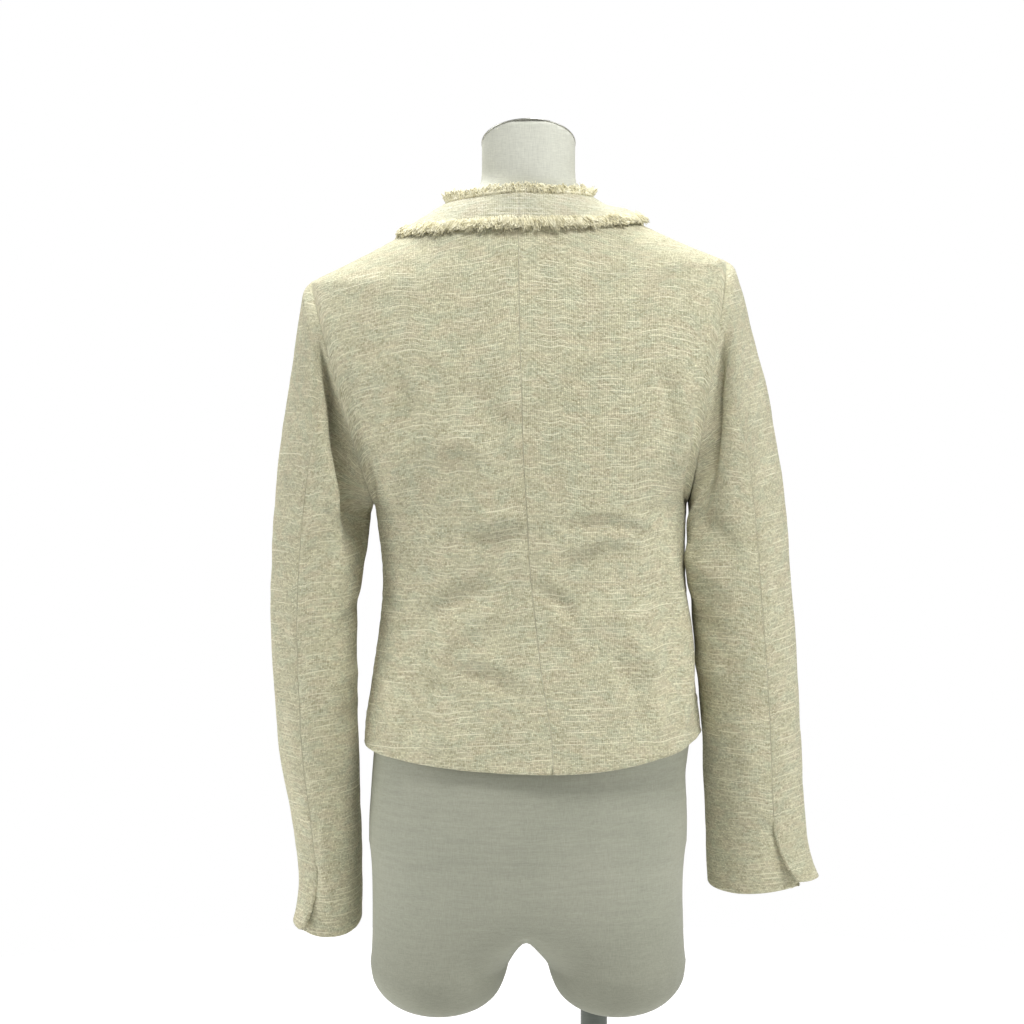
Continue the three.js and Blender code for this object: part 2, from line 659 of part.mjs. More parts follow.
function stand() {
  const { radius, height, chamfer } = PLATE;
  add('base_plate', turned([
    [0, 0], [radius, 0], [radius, height - chamfer], [radius - chamfer, height], [0, height],
  ]), 'steel');
  const foot = height + SEAM;
  const pole = turned([[0, 0], [POLE.radius, 0], [POLE.radius, POLE.top - foot], [0, POLE.top - foot]]);
  add('pole', pole, 'steel').position.set(POLE.x, 0, foot);
  const bore = POLE.radius + SEAM;
  const socket = turned([
    [bore, 0], [SOCKET.radius, 0], [SOCKET.radius, SOCKET.height - chamfer],
    [SOCKET.radius - chamfer, SOCKET.height], [bore, SOCKET.height], [bore, 0],
  ]);
  add('base_socket', socket, 'steel').position.set(POLE.x, 0, foot);
}

formBody();
neckCap();
stand();

export default object;
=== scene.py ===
"""A tweed jacket with a wide frayed-edge collar, on a limbless dress form with a pole and a round base.

Shapes are worked out in millimetres and placed in metres. +Z is up, the jacket's front faces -Y and the
wearer's left is +X.
"""

import math
import random

import bmesh
import bpy
import numpy as np
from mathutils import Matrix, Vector, noise


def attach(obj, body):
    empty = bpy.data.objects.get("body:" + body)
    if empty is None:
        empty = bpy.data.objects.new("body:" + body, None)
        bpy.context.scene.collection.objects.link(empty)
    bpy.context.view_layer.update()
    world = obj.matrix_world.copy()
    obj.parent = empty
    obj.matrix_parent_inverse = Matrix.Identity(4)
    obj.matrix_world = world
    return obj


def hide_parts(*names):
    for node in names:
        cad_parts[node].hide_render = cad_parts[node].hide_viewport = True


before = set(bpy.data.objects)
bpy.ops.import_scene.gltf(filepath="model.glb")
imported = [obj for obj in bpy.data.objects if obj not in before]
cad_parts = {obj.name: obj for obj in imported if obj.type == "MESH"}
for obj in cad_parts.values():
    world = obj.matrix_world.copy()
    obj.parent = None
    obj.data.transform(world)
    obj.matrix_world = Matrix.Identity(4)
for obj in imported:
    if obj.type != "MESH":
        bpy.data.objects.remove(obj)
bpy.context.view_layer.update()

# ---------------------------------------------------------------- driving dimensions, in millimetres

MM = 0.001
LEFT, RIGHT = 1, -1
BACK, FRONT = 1, -1
SIDE_NAME = {LEFT: "left", RIGHT: "right"}
FACE_NAME = {BACK: "back", FRONT: "front"}
ROUNDNESS = 2.2
CLOTH = 2.0
CLOSED = 0.06

BODY = {
    "z": [548, 596, 640, 680, 723, 760, 798, 850, 900, 950, 1000, 1040, 1060, 1090],
    "seam": [-22, -20, -13, -8, -3, 0, 2, 5, 6.5, 8, 9, 9, 9, 9],
    "left": [148, 149, 144, 138, 134, 136, 141.5, 150, 155, 160, 165, 120, 89, 30],
    "right": [159, 157, 153.5, 150, 145.5, 144, 146, 150, 155, 160, 165, 130, 87, 30],
    "back": [101, 98, 93, 88, 85, 89, 93, 96, 95, 88, 76, 63, 56, 42],
    "front": [107, 105, 101, 97, 96, 102, 108, 116, 114, 102, 78, 50, 38, 20],
}
SHOULDER = {
    LEFT: {"z": [1001, 1019, 1040, 1052, 1065, 1072, 1079, 1087], "x": [198, 160, 120, 101, 82, 70, 52, 22]},
    RIGHT: {"z": [1020, 1028, 1040, 1053, 1062, 1069, 1078, 1086], "x": [180, 158, 130, 102, 83, 68, 52, 22]},
}
ARMHOLE = {
    LEFT: {"tip_x": 198, "tip_z": 1001, "under_x": 141.5, "under_z": 797, "half_depth": 56},
    RIGHT: {"tip_x": 180, "tip_z": 1020, "under_x": 146, "under_z": 799, "half_depth": 56},
}
HEM = {"back": 566, "front": 570, LEFT: 577, RIGHT: 587}
UNDER_ROW = 798
TIP_ROW = {BACK: 1010, FRONT: 965}
NECKLINE = {"x": 8, "half_width": 62, BACK: 46, FRONT: 50}
LOW_ROWS, ARM_ROWS, TOP_ROWS = 7, 10, 4
COLLAR_JOIN = 0.055

# Sleeve rings from armhole to cuff: outer and inner ends, middle and half depth in y, drop of the back edge.
SLEEVE = {
    LEFT: {
        "out_x": [205, 209.5, 216.5, 223, 229.5, 234.5, 237.5, 237.5, 234.8, 232.5, 224, 218, 211],
        "out_z": [988, 964, 921, 880, 835, 781, 713, 666, 617, 567, 512, 466, 402],
        "in_x": [144.5, 145, 146, 147, 148.5, 152, 156.5, 158.5, 158.5, 158.2, 157.5, 157, 157.5],
        "in_z": [790, 784, 777, 768, 757, 737, 700, 662, 617, 567, 512, 466, 402],
        "y": [0, 1, 2, 2, 1, 0, -2, -6, -12, -20, -29, -36, -44],
        "depth": [58, 59.5, 59, 56.5, 54, 52.5, 51.5, 51, 50.5, 49.5, 48, 47, 46.5],
        "drop": [0, 0, 0, 0, 0, 1, 2, 3, 5, 6, 7, 8, 8.5],
    },
    RIGHT: {
        "out_x": [188, 196, 204.5, 217, 227.5, 236, 243, 248, 251.5, 254.5, 257.5, 260.5, 264],
        "out_z": [1010, 989, 953, 908, 855, 795, 722, 665, 620, 572, 530, 500, 439.5],
        "in_x": [147.5, 148, 148.5, 149, 149.5, 148, 150.5, 155, 159.3, 162.5, 164.5, 166.5, 169.5],
        "in_z": [793, 787, 780, 771, 760, 742, 706, 660, 618, 572, 530, 500, 439.5],
        "y": [0, 1, 2, 2, 1, 0, -2, -5, -9, -14, -19, -23, -29],
        "depth": [58, 59.5, 58.5, 55.5, 52.5, 50.5, 49.5, 48.5, 47, 45, 41.5, 38.5, 33.5],
        "drop": [0, 0, 0, 0, 0, 1, 2, 3, 4, 5, 6, 6, 6],
    },
}
BACK_SEAM = math.radians(72)
FRONT_SEAM = math.radians(234)
VENT_TOP = {LEFT: 466, RIGHT: 506}
CUFF_EDGE = {LEFT: 396, RIGHT: 436}

# ---------------------------------------------------------------- small helpers


def smooth_column(table, name, z):
    """A column of a table at heights z, as a smooth curve through its rows."""
    knots = np.asarray(table["z"], float)
    values = np.asarray(table[name], float)
    z = np.clip(np.asarray(z, float), knots[0], knots[-1])
    i = np.clip(np.searchsorted(knots, z, side="left") - 1, 0, len(knots) - 2)
    before = np.maximum(np.arange(len(knots)) - 1, 0)
    after = np.minimum(np.arange(len(knots)) + 1, len(knots) - 1)
    slopes = (values[after] - values[before]) / (knots[after] - knots[before])
    span = knots[i + 1] - knots[i]
    t = (z - knots[i]) / span
    rise = values[i + 1] - values[i]
    curve = t * (1 - t) * ((1 - t) * (slopes[i] * span - rise) + t * (rise - slopes[i + 1] * span))
    return values[i] + rise * t + curve


def mix(a, b, t):
    return a + (b - a) * t


def ease(t):
    t = np.clip(t, 0, 1)
    return t * t * (3 - 2 * t)


def bump(distance, width):
    """1 on a line, falling softly to 0 at about twice the width."""
    return np.exp(-((distance / width) ** 2))


# ---------------------------------------------------------------- the jacket's body surface


def ring_of(side, face, z):
    """Seam x, depth, half width and end angle of the level ring that a panel follows."""
    hole = ARMHOLE[side]
    z = np.asarray(z, float)
    seam = smooth_column(BODY, "seam", z)
    depth = smooth_column(BODY, FACE_NAME[face], z)
    below = smooth_column(BODY, SIDE_NAME[side], z) - side * seam
    above = smooth_column(SHOULDER[side], "x", z) - side * seam
    share = np.clip((z - hole["under_z"]) / (hole["tip_z"] - hole["under_z"]), 0, 1)
    half_depth = hole["half_depth"] * np.sqrt(np.maximum(1 - (2 * share - 1) ** 2, 0))
    sine = (half_depth / depth) ** (ROUNDNESS / 2)
    edge_x = mix(hole["under_x"], hole["tip_x"], share)
    beside = (edge_x - side * seam) / np.sqrt(1 - sine * sine) ** (2 / ROUNDNESS)
    width = np.where(share <= 0, below, np.where(share >= 1, above, beside))
    end = np.where((share > 0) & (share < 1), np.arcsin(sine), 0.0)
    return seam, depth, width, end


def surface(side, face, angle, z):
    """Points of the outer surface: angle 0 is the side, a quarter turn is the centre seam."""
    seam, depth, width, _ = ring_of(side, face, z)
    across = width * np.maximum(np.cos(angle), 0) ** (2 / ROUNDNESS)
    out = depth * np.maximum(np.sin(angle), 0) ** (2 / ROUNDNESS)
    return np.stack([seam + side * across, face * out, np.asarray(z, float) + 0 * across], axis=-1)


def neckline_at(side, face, share):
    """Angle and height on the neckline, an oval seen from above."""
    seam = BODY["seam"][-1]
    start = math.acos((seam - NECKLINE["x"]) / NECKLINE["half_width"])
    turn = mix(start, 0 if side == LEFT else math.pi, share)
    x = NECKLINE["x"] + NECKLINE["half_width"] * np.cos(turn)
    y = NECKLINE[face] * np.sin(turn) / mix(math.sin(start), 1.0, np.minimum(share * 8, 1))
    low = np.full_like(share, ARMHOLE[side]["tip_z"])
    high = np.full_like(share, BODY["z"][-1] - 4)
    for _ in range(30):
        middle = (low + high) / 2
        ring_seam, depth, width, _ = ring_of(side, face, middle)
        inside = (np.abs(x - ring_seam) / width) ** ROUNDNESS + (y / depth) ** ROUNDNESS <= 1
        low = np.where(inside, middle, low)
        high = np.where(inside, high, middle)
    depth = ring_of(side, face, low)[1]
    angle = np.arcsin(np.clip(np.maximum(y, 0) / depth, 0, 1) ** (ROUNDNESS / 2))
    return np.where(share >= 1, 0, angle), low


def place(side, face, row, share):
    """Angle and height on a panel: row counted up from the hem, share from centre seam to side."""
    hole = ARMHOLE[side]
    t_low = np.clip(row / LOW_ROWS, 0, 1)
    hem_z = mix(HEM[FACE_NAME[face]], HEM[side], ease(share))
    z_low = mix(hem_z, mix(UNDER_ROW, hole["under_z"], ease(share)), t_low)
    angle_low = math.pi / 2 * (1 - share)
    t_arm = (1 - np.cos(math.pi * np.clip((row - LOW_ROWS) / ARM_ROWS, 0, 1))) / 2
    side_z = mix(hole["under_z"], hole["tip_z"], t_arm)
    z_arm = mix(mix(UNDER_ROW, TIP_ROW[face], t_arm), side_z, ease(share))
    angle_arm = mix(math.pi / 2, ring_of(side, face, side_z)[3], share)
    t_top = np.clip((row - LOW_ROWS - ARM_ROWS) / TOP_ROWS, 0, 1)
    neck_angle, neck_z = neckline_at(side, face, share)
    z_tip = mix(TIP_ROW[face], hole["tip_z"], ease(share))
    angle_top = mix(math.pi / 2 * (1 - share), neck_angle, t_top)
    z_top = mix(z_tip, neck_z, t_top)
    low, arm = row <= LOW_ROWS, row <= LOW_ROWS + ARM_ROWS
    angle = np.where(low, angle_low, np.where(arm, angle_arm, angle_top))
    return angle, np.where(low, z_low, np.where(arm, z_arm, z_top))


def body_points(side, face, row, share):
    angle, z = place(side, face, row, share)
    return surface(side, face, angle, z)


# ---------------------------------------------------------------- cloth sheets from a grid


def unit(vectors):
    return vectors / np.maximum(np.linalg.norm(vectors, axis=-1, keepdims=True), 1e-9)


def grid_normals(points, outward):
    """Unit normals of a (rows, columns, 3) grid, turned to face outward."""
    normals = unit(np.cross(np.gradient(points, axis=1), np.gradient(points, axis=0)))
    return -normals if (normals * outward).sum() < 0 else normals


def arc_lengths(points, axis):
    steps = np.linalg.norm(np.diff(points, axis=axis), axis=-1)
    start = np.zeros_like(steps.take([0], axis=axis))
    return np.concatenate([start, np.cumsum(steps, axis=axis)], axis=axis)


def relax(points, times):
    """Softens a grid inside its fixed border."""
    for _ in range(times):
        inner = (points[2:, 1:-1] + points[:-2, 1:-1] + points[1:-1, 2:] + points[1:-1, :-2]) / 4
        points[1:-1, 1:-1] = mix(points[1:-1, 1:-1], inner, 0.7)
    return points


def rough(points, size, seed):
    """Soft unevenness between -1 and 1, with bumps of about the given size in millimetres."""
    flat = points.reshape(-1, 3) / size
    shift = Vector((seed * 7.3, seed * 3.1, seed * 5.7))
    values = [noise.noise(Vector(p) + shift) for p in flat]
    return np.asarray(values).reshape(points.shape[:-1])


def turned_edge(points, normals, radius, depth):
    """Rows that end the grid at its first row: turned in round a radius, or straight in where it is small."""
    off = unit(points[0] - points[1])
    near = points[0] - off * 0.35
    rolled = ease((radius - 0.3) / 0.5)
    back, bend = [], []
    for k in range(depth, 0, -1):
        straight = points[0] - (0.9 + 0.1 * k) * normals[0]
        back.append(mix(straight, points[k] - 2 * radius * normals[k], rolled))
    for share in (1.0, 0.75, 0.5, 0.25):
        turn = math.pi * share
        bent = points[0] + radius * (math.sin(turn) * off - (1 - math.cos(turn)) * normals[0])
        bend.append(mix(points[0] - 0.9 * share * normals[0], bent, rolled))
    return np.concatenate([np.stack([*back, *bend, points[0], near]), points[1:]])


def turn_edges(points, normals, edges):
    """Turns the named edges in; an edge has a radius, or one for each place along it, and a depth in rows."""
    inside = np.zeros(points.shape[:2], bool)
    for name, (radius, depth) in edges.items():
        swap = name in ("first_column", "last_column")
        flip = name in ("last_row", "last_column")
        grids = [points, normals, inside]
        grids = [grid.swapaxes(0, 1) for grid in grids] if swap else grids
        grids = [grid[::-1] for grid in grids] if flip else grids
        grid, facing, turned = grids
        plain = ~turned[0]
        radii = np.full((len(plain), 1), 0.25)
        radii[plain, 0] = radius
        grid = turned_edge(grid, facing, radii, depth)
        extra = len(grid) - len(facing)
        facing = np.concatenate([np.repeat(facing[:1], extra, axis=0), facing])
        turned = np.concatenate([np.ones_like(turned[:1]).repeat(extra, axis=0), turned])
        grids = [grid, facing, turned]
        grids = [grid[::-1] for grid in grids] if flip else grids
        points, normals, inside = [grid.swapaxes(0, 1) for grid in grids] if swap else grids
    return points


def cloth(name, points, material, edges, outward, grain=0.0, level=None, thickness=CLOTH):
    """A sheet through a grid of points, with cloth coordinates in metres measured along the cloth."""
    raw = np.cross(np.gradient(points, axis=1), np.gradient(points, axis=0))
    flipped = (raw * outward).sum() < 0
    points = turn_edges(points, grid_normals(points, outward), edges)
    rows, columns = points.shape[0] - 1, points.shape[1] - 1
    across = arc_lengths(points, 1)
    along = arc_lengths(points, 0)
    if level == "first_row":
        along = along + points[:1, :, 2]
    if level == "last_row":
        along = along - along[-1:] - points[-1:, :, 2]
    turned = MM * np.stack([
        across * math.cos(grain) - along * math.sin(grain),
        across * math.sin(grain) + along * math.cos(grain),
    ], axis=-1)
    bm = bmesh.new()
    bmesh.ops.create_grid(bm, x_segments=columns, y_segments=rows, size=0.5)
    spots = {v: (round((v.co.y + 0.5) * rows), round((v.co.x + 0.5) * columns)) for v in bm.verts}
    layer = bm.loops.layers.uv.new("cloth")
    for face in bm.faces:
        face.smooth = True
        for loop in face.loops:
            loop[layer].uv = turned[spots[loop.vert]]
    for vert, spot in spots.items():
        vert.co = Vector(points[spot] * MM)
    if flipped:
        bmesh.ops.reverse_faces(bm, faces=bm.faces)
    mesh = bpy.data.meshes.new(name)
    bm.to_mesh(mesh)
    bm.free()
    piece = new_piece(name, mesh, material)
    wall = piece.modifiers.new("thickness", "SOLIDIFY")
    wall.thickness = thickness * MM
    wall.offset = -1
    return piece


def new_piece(name, mesh, material):
    piece = bpy.data.objects.new(name, mesh)
    bpy.context.collection.objects.link(piece)
    piece.data.materials.append(material)
    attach(piece, "root")
    return piece


def share_grid(rows, columns):
    """Row and column shares of a grid."""
    return np.meshgrid(np.linspace(0, 1, rows + 1), np.linspace(0, 1, columns + 1), indexing="ij")


# ---------------------------------------------------------------- creases

# Soft troughs (negative depth) and ridges on the body: ends in x and z, width and depth.
BODY_CREASES = {
    BACK: [
        {"x1": 46, "z1": 782, "x2": 2, "z2": 792, "width": 8, "depth": 2.7},
        {"x1": 62, "z1": 766, "x2": 0, "z2": 774, "width": 9, "depth": -2.4},
        {"x1": -40, "z1": 798, "x2": -112, "z2": 782, "width": 6, "depth": 1.7},
        {"x1": -30, "z1": 783, "x2": -110, "z2": 772, "width": 5, "depth": -1.8},
        {"x1": -38, "z1": 762, "x2": -96, "z2": 776, "width": 7, "depth": 2.0},
        {"x1": -30, "z1": 746, "x2": -92, "z2": 760, "width": 7, "depth": -1.8},
        {"x1": -30, "z1": 694, "x2": -112, "z2": 696, "width": 12, "depth": 3.6},
        {"x1": -8, "z1": 730, "x2": -46, "z2": 688, "width": 6, "depth": -3.0},
        {"x1": -16, "z1": 704, "x2": -50, "z2": 672, "width": 7, "depth": 1.8},
        {"x1": 78, "z1": 672, "x2": 8, "z2": 712, "width": 9, "depth": 3.6},
        {"x1": 100, "z1": 690, "x2": 30, "z2": 728, "width": 9, "depth": -3.2},
        {"x1": 62, "z1": 668, "x2": -6, "z2": 642, "width": 6, "depth": 2.6},
        {"x1": 70, "z1": 654, "x2": 4, "z2": 628, "width": 8, "depth": -2.6},
        {"x1": 96, "z1": 642, "x2": 60, "z2": 622, "width": 10, "depth": -2.5},
        {"x1": 92, "z1": 592, "x2": 56, "z2": 586, "width": 9, "depth": 3.2},
        {"x1": 66, "z1": 908, "x2": 20, "z2": 866, "width": 10, "depth": -2.0},
        {"x1": 36, "z1": 868, "x2": -14, "z2": 876, "width": 9, "depth": -1.8},
        {"x1": -10, "z1": 880, "x2": -76, "z2": 930, "width": 7, "depth": -1.8},
        {"x1": -8, "z1": 894, "x2": -70, "z2": 942, "width": 8, "depth": 1.6},
        {"x1": 88, "z1": 944, "x2": 68, "z2": 906, "width": 9, "depth": 2.9},
        {"x1": 82, "z1": 858, "x2": 36, "z2": 852, "width": 11, "depth": 3.2},
        {"x1": 116, "z1": 916, "x2": 110, "z2": 862, "width": 9, "depth": -3.6},
        {"x1": 134, "z1": 880, "x2": 122, "z2": 800, "width": 9, "depth": 3.3},
        {"x1": -118, "z1": 920, "x2": -124, "z2": 872, "width": 8, "depth": -4.1},
        {"x1": -134, "z1": 900, "x2": -130, "z2": 820, "width": 9, "depth": 3.6},
        {"x1": 96, "z1": 690, "x2": 98, "z2": 600, "width": 3, "depth": -1.2},
        {"x1": -72, "z1": 668, "x2": -100, "z2": 620, "width": 8, "depth": -2.9},
        {"x1": -84, "z1": 690, "x2": -118, "z2": 630, "width": 9, "depth": 3.6},
        {"x1": -112, "z1": 630, "x2": -108, "z2": 586, "width": 12, "depth": 3.6},
        {"x1": -124, "z1": 760, "x2": -127, "z2": 560, "width": 9, "depth": 3.3},
        {"x1": -141, "z1": 740, "x2": -143, "z2": 560, "width": 8, "depth": -3.2},
        {"x1": 128, "z1": 640, "x2": 132, "z2": 566, "width": 9, "depth": 3.2},
        {"x1": 60, "z1": 1030, "x2": 130, "z2": 985, "width": 14, "depth": 0.9},
        {"x1": -70, "z1": 1035, "x2": -140, "z2": 990, "width": 13, "depth": -1.1},
    ],
    FRONT: [
        {"x1": 146, "z1": 800, "x2": 88, "z2": 868, "width": 12, "depth": -3.6},
        {"x1": -146, "z1": 802, "x2": -92, "z2": 872, "width": 12, "depth": -3.3},
        {"x1": 120, "z1": 780, "x2": 62, "z2": 838, "width": 10, "depth": 3.2},
        {"x1": -126, "z1": 776, "x2": -66, "z2": 834, "width": 10, "depth": 3.2},
        {"x1": 140, "z1": 742, "x2": 54, "z2": 752, "width": 8, "depth": -4.1},
        {"x1": 128, "z1": 722, "x2": 60, "z2": 724, "width": 8, "depth": 4.1},
        {"x1": -142, "z1": 735, "x2": -60, "z2": 754, "width": 8, "depth": -3.3},
        {"x1": -130, "z1": 716, "x2": -72, "z2": 726, "width": 8, "depth": 3.6},
        {"x1": 110, "z1": 700, "x2": 126, "z2": 578, "width": 12, "depth": 3.6},
        {"x1": 76, "z1": 680, "x2": 84, "z2": 578, "width": 12, "depth": -3.2},
        {"x1": -104, "z1": 700, "x2": -120, "z2": 578, "width": 12, "depth": 3.9},
        {"x1": -70, "z1": 690, "x2": -76, "z2": 578, "width": 12, "depth": -3.2},
        {"x1": -40, "z1": 900, "x2": -100, "z2": 946, "width": 9, "depth": -2.9},
        {"x1": 150, "z1": 930, "x2": 96, "z2": 900, "width": 11, "depth": 3.2},
        {"x1": -148, "z1": 940, "x2": -100, "z2": 905, "width": 11, "depth": 3.6},
    ],
}

# The same on the sleeves: ends as turn from the outer line (degrees, 90 is the back) and height.
SLEEVE_CREASES = {
    LEFT: [
        {"a1": 122, "z1": 930, "a2": 128, "z2": 770, "width": 13, "depth": 2.0},
        {"a1": 148, "z1": 890, "a2": 150, "z2": 740, "width": 16, "depth": -9.0},
        {"a1": 150, "z1": 800, "a2": 84, "z2": 742, "width": 12, "depth": -2.3},
        {"a1": 168, "z1": 760, "a2": 100, "z2": 704, "width": 11, "depth": 2.1},
        {"a1": 190, "z1": 706, "a2": 112, "z2": 668, "width": 10, "depth": -2.5},
        {"a1": 40, "z1": 700, "a2": 78, "z2": 656, "width": 11, "depth": -1.4},
        {"a1": 180, "z1": 640, "a2": 105, "z2": 630, "width": 9, "depth": 1.9},
        {"a1": 185, "z1": 600, "a2": 116, "z2": 596, "width": 9, "depth": -1.7},
        {"a1": 30, "z1": 930, "a2": 70, "z2": 866, "width": 12, "depth": -1.3},
        {"a1": 24, "z1": 640, "a2": 66, "z2": 600, "width": 10, "depth": 1.2},
        {"a1": 96, "z1": 520, "a2": 104, "z2": 410, "width": 12, "depth": 1.9},
        {"a1": 40, "z1": 500, "a2": 68, "z2": 462, "width": 8, "depth": -1.3},
        {"a1": 250, "z1": 720, "a2": 300, "z2": 660, "width": 11, "depth": -2.5},
        {"a1": 240, "z1": 690, "a2": 290, "z2": 636, "width": 11, "depth": 2.1},
        {"a1": 230, "z1": 830, "a2": 286, "z2": 770, "width": 12, "depth": -2.3},
    ],
    RIGHT: [
        {"a1": 96, "z1": 900, "a2": 152, "z2": 838, "width": 8, "depth": 2.5},
        {"a1": 104, "z1": 922, "a2": 160, "z2": 862, "width": 9, "depth": -8.0},
        {"a1": 152, "z1": 838, "a2": 168, "z2": 770, "width": 9, "depth": 1.9},
        {"a1": 150, "z1": 790, "a2": 90, "z2": 748, "width": 11, "depth": -2.1},
        {"a1": 166, "z1": 756, "a2": 104, "z2": 716, "width": 11, "depth": 1.9},
        {"a1": 186, "z1": 712, "a2": 116, "z2": 676, "width": 11, "depth": -2.1},
        {"a1": 36, "z1": 720, "a2": 66, "z2": 676, "width": 11, "depth": -1.5},
        {"a1": 182, "z1": 650, "a2": 112, "z2": 634, "width": 10, "depth": 1.7},
        {"a1": 96, "z1": 600, "a2": 130, "z2": 500, "width": 14, "depth": 1.7},
        {"a1": 34, "z1": 950, "a2": 62, "z2": 890, "width": 12, "depth": -1.5},
        {"a1": 28, "z1": 620, "a2": 60, "z2": 566, "width": 11, "depth": 1.3},
        {"a1": 245, "z1": 730, "a2": 300, "z2": 675, "width": 12, "depth": -2.3},
        {"a1": 250, "z1": 690, "a2": 300, "z2": 640, "width": 11, "depth": 1.9},
        {"a1": 235, "z1": 840, "a2": 292, "z2": 770, "width": 12, "depth": -2.3},
    ],
}


def crease_relief(a, b, creases, first, second):
    """Summed relief of creases at places (a, b); each crease fades out at its two ends."""
    total = np.zeros_like(a)
    for crease in creases:
        a1, b1 = crease[first + "1"], crease[second + "1"]
        da, db = crease[first + "2"] - a1, crease[second + "2"] - b1
        length = math.hypot(da, db)
        along = ((a - a1) * da + (b - b1) * db) / length**2
        aside = ((a - a1) * db - (b - b1) * da) / length
        bend = 0.1 * length * np.sin(math.pi * np.clip(along, 0, 1))
        fade = ease((along + 0.2) / 0.5) * ease((1.2 - along) / 0.6)
        total += 1.35 * crease["depth"] * fade * bump(aside - bend, crease["width"])
    return total


# ---------------------------------------------------------------- node groups


def new_group(name, inputs, outputs):
    group = bpy.data.node_groups.new(name, "ShaderNodeTree")
    for socket, kind, default in inputs:
        made = group.interface.new_socket(socket, in_out="INPUT", socket_type=kind)
        if default is not None:
            made.default_value = default
    for socket, kind in outputs:
        group.interface.new_socket(socket, in_out="OUTPUT", socket_type=kind)
    return group, group.nodes.new("NodeGroupInput"), group.nodes.new("NodeGroupOutput")


def math_node(tree, operation, first, second=None, third=None, clamp=False):
    node = tree.nodes.new("ShaderNodeMath")
    node.operation = operation
    node.use_clamp = clamp
    for socket, value in zip(node.inputs, (first, second, third)):
        if value is None:
            continue
        if isinstance(value, (int, float)):
            socket.default_value = value
        else:
            tree.links.new(value, socket)
    return node.outputs[0]


def noise_node(tree, vector, scale, detail=2.0, roughness=0.5):
    node = tree.nodes.new("ShaderNodeTexNoise")
    tree.links.new(vector, node.inputs["Vector"])
    node.inputs["Scale"].default_value = scale
    node.inputs["Detail"].default_value = detail
    node.inputs["Roughness"].default_value = roughness
    return node.outputs["Fac"]


def stretched(tree, vector, scale):
    node = tree.nodes.new("ShaderNodeVectorMath")
    node.operation = "MULTIPLY"
    tree.links.new(vector, node.inputs[0])
    node.inputs[1].default_value = scale
    return node.outputs[0]


def colour_mix(tree, factor, first, second, blend="MIX"):
    node = tree.nodes.new("ShaderNodeMix")
    node.data_type = "RGBA"
    node.blend_type = blend
    for socket, value in ((node.inputs[0], factor), (node.inputs[6], first), (node.inputs[7], second)):
        if isinstance(value, (int, float)):
            socket.default_value = value
        elif isinstance(value, tuple):
            socket.default_value = value
        else:
            tree.links.new(value, socket)
    return node.outputs[2]


def ramp_node(tree, factor, stops):
    node = tree.nodes.new("ShaderNodeValToRGB")
    tree.links.new(factor, node.inputs[0])
    elements = node.color_ramp.elements
    while len(elements) < len(stops):
        elements.new(0.5)
    for element, (position, colour) in zip(elements, stops):
        element.position = position
        element.color = colour
    return node.outputs[0]


def grey(value):
    return (value, value, value, 1.0)


def linear(red, green, blue):
    """A colour given as display values from 0 to 255."""
    def channel(value):
        value /= 255
        return value / 12.92 if value <= 0.04045 else ((value + 0.055) / 1.055) ** 2.4
    return (channel(red), channel(green), channel(blue), 1.0)


def combine(tree, first, second, third=0.0):
    node = tree.nodes.new("ShaderNodeCombineXYZ")
    for socket, value in zip(node.inputs, (first, second, third)):
        if isinstance(value, (int, float)):
            socket.default_value = value
        else:
            tree.links.new(value, socket)
    return node.outputs[0]


def band(tree, value, low, high):
    """0 below low, 1 above high, soft between."""
    node = tree.nodes.new("ShaderNodeMapRange")
    node.interpolation_type = "SMOOTHSTEP"
    tree.links.new(value, node.inputs["Value"])
    node.inputs["From Min"].default_value = low
    node.inputs["From Max"].default_value = high
    return node.outputs[0]


def slub_lines(tree, split, vector, pitch, length, cover, seed):
    """Broken bright weft yarns: thin lines a pitch apart, each on and off along its length."""
    drift = noise_node(tree, stretched(tree, vector, (5.0, 110.0, 1.0)), 1.0, 2.0)
    line = math_node(tree, "DIVIDE", split.outputs[1], pitch)
    line = math_node(tree, "ADD", line, math_node(tree, "MULTIPLY", drift, 0.6))
    line = math_node(tree, "ADD", line, seed)
    row = math_node(tree, "FLOOR", line)
    share = math_node(tree, "FRACT", line)
    centre = math_node(tree, "ABSOLUTE", math_node(tree, "SUBTRACT", share, 0.5))
    thin = math_node(tree, "SUBTRACT", 1.0, band(tree, centre, 0.0, 0.0008 / pitch))
    along = math_node(tree, "MULTIPLY", split.outputs[0], 1.0 / length)
    gate = noise_node(tree, combine(tree, along, math_node(tree, "MULTIPLY", row, 7.31), seed), 1.0, 2.0, 0.6)
    return math_node(tree, "MULTIPLY", thin, band(tree, gate, 1.0 - cover, 1.1 - cover))


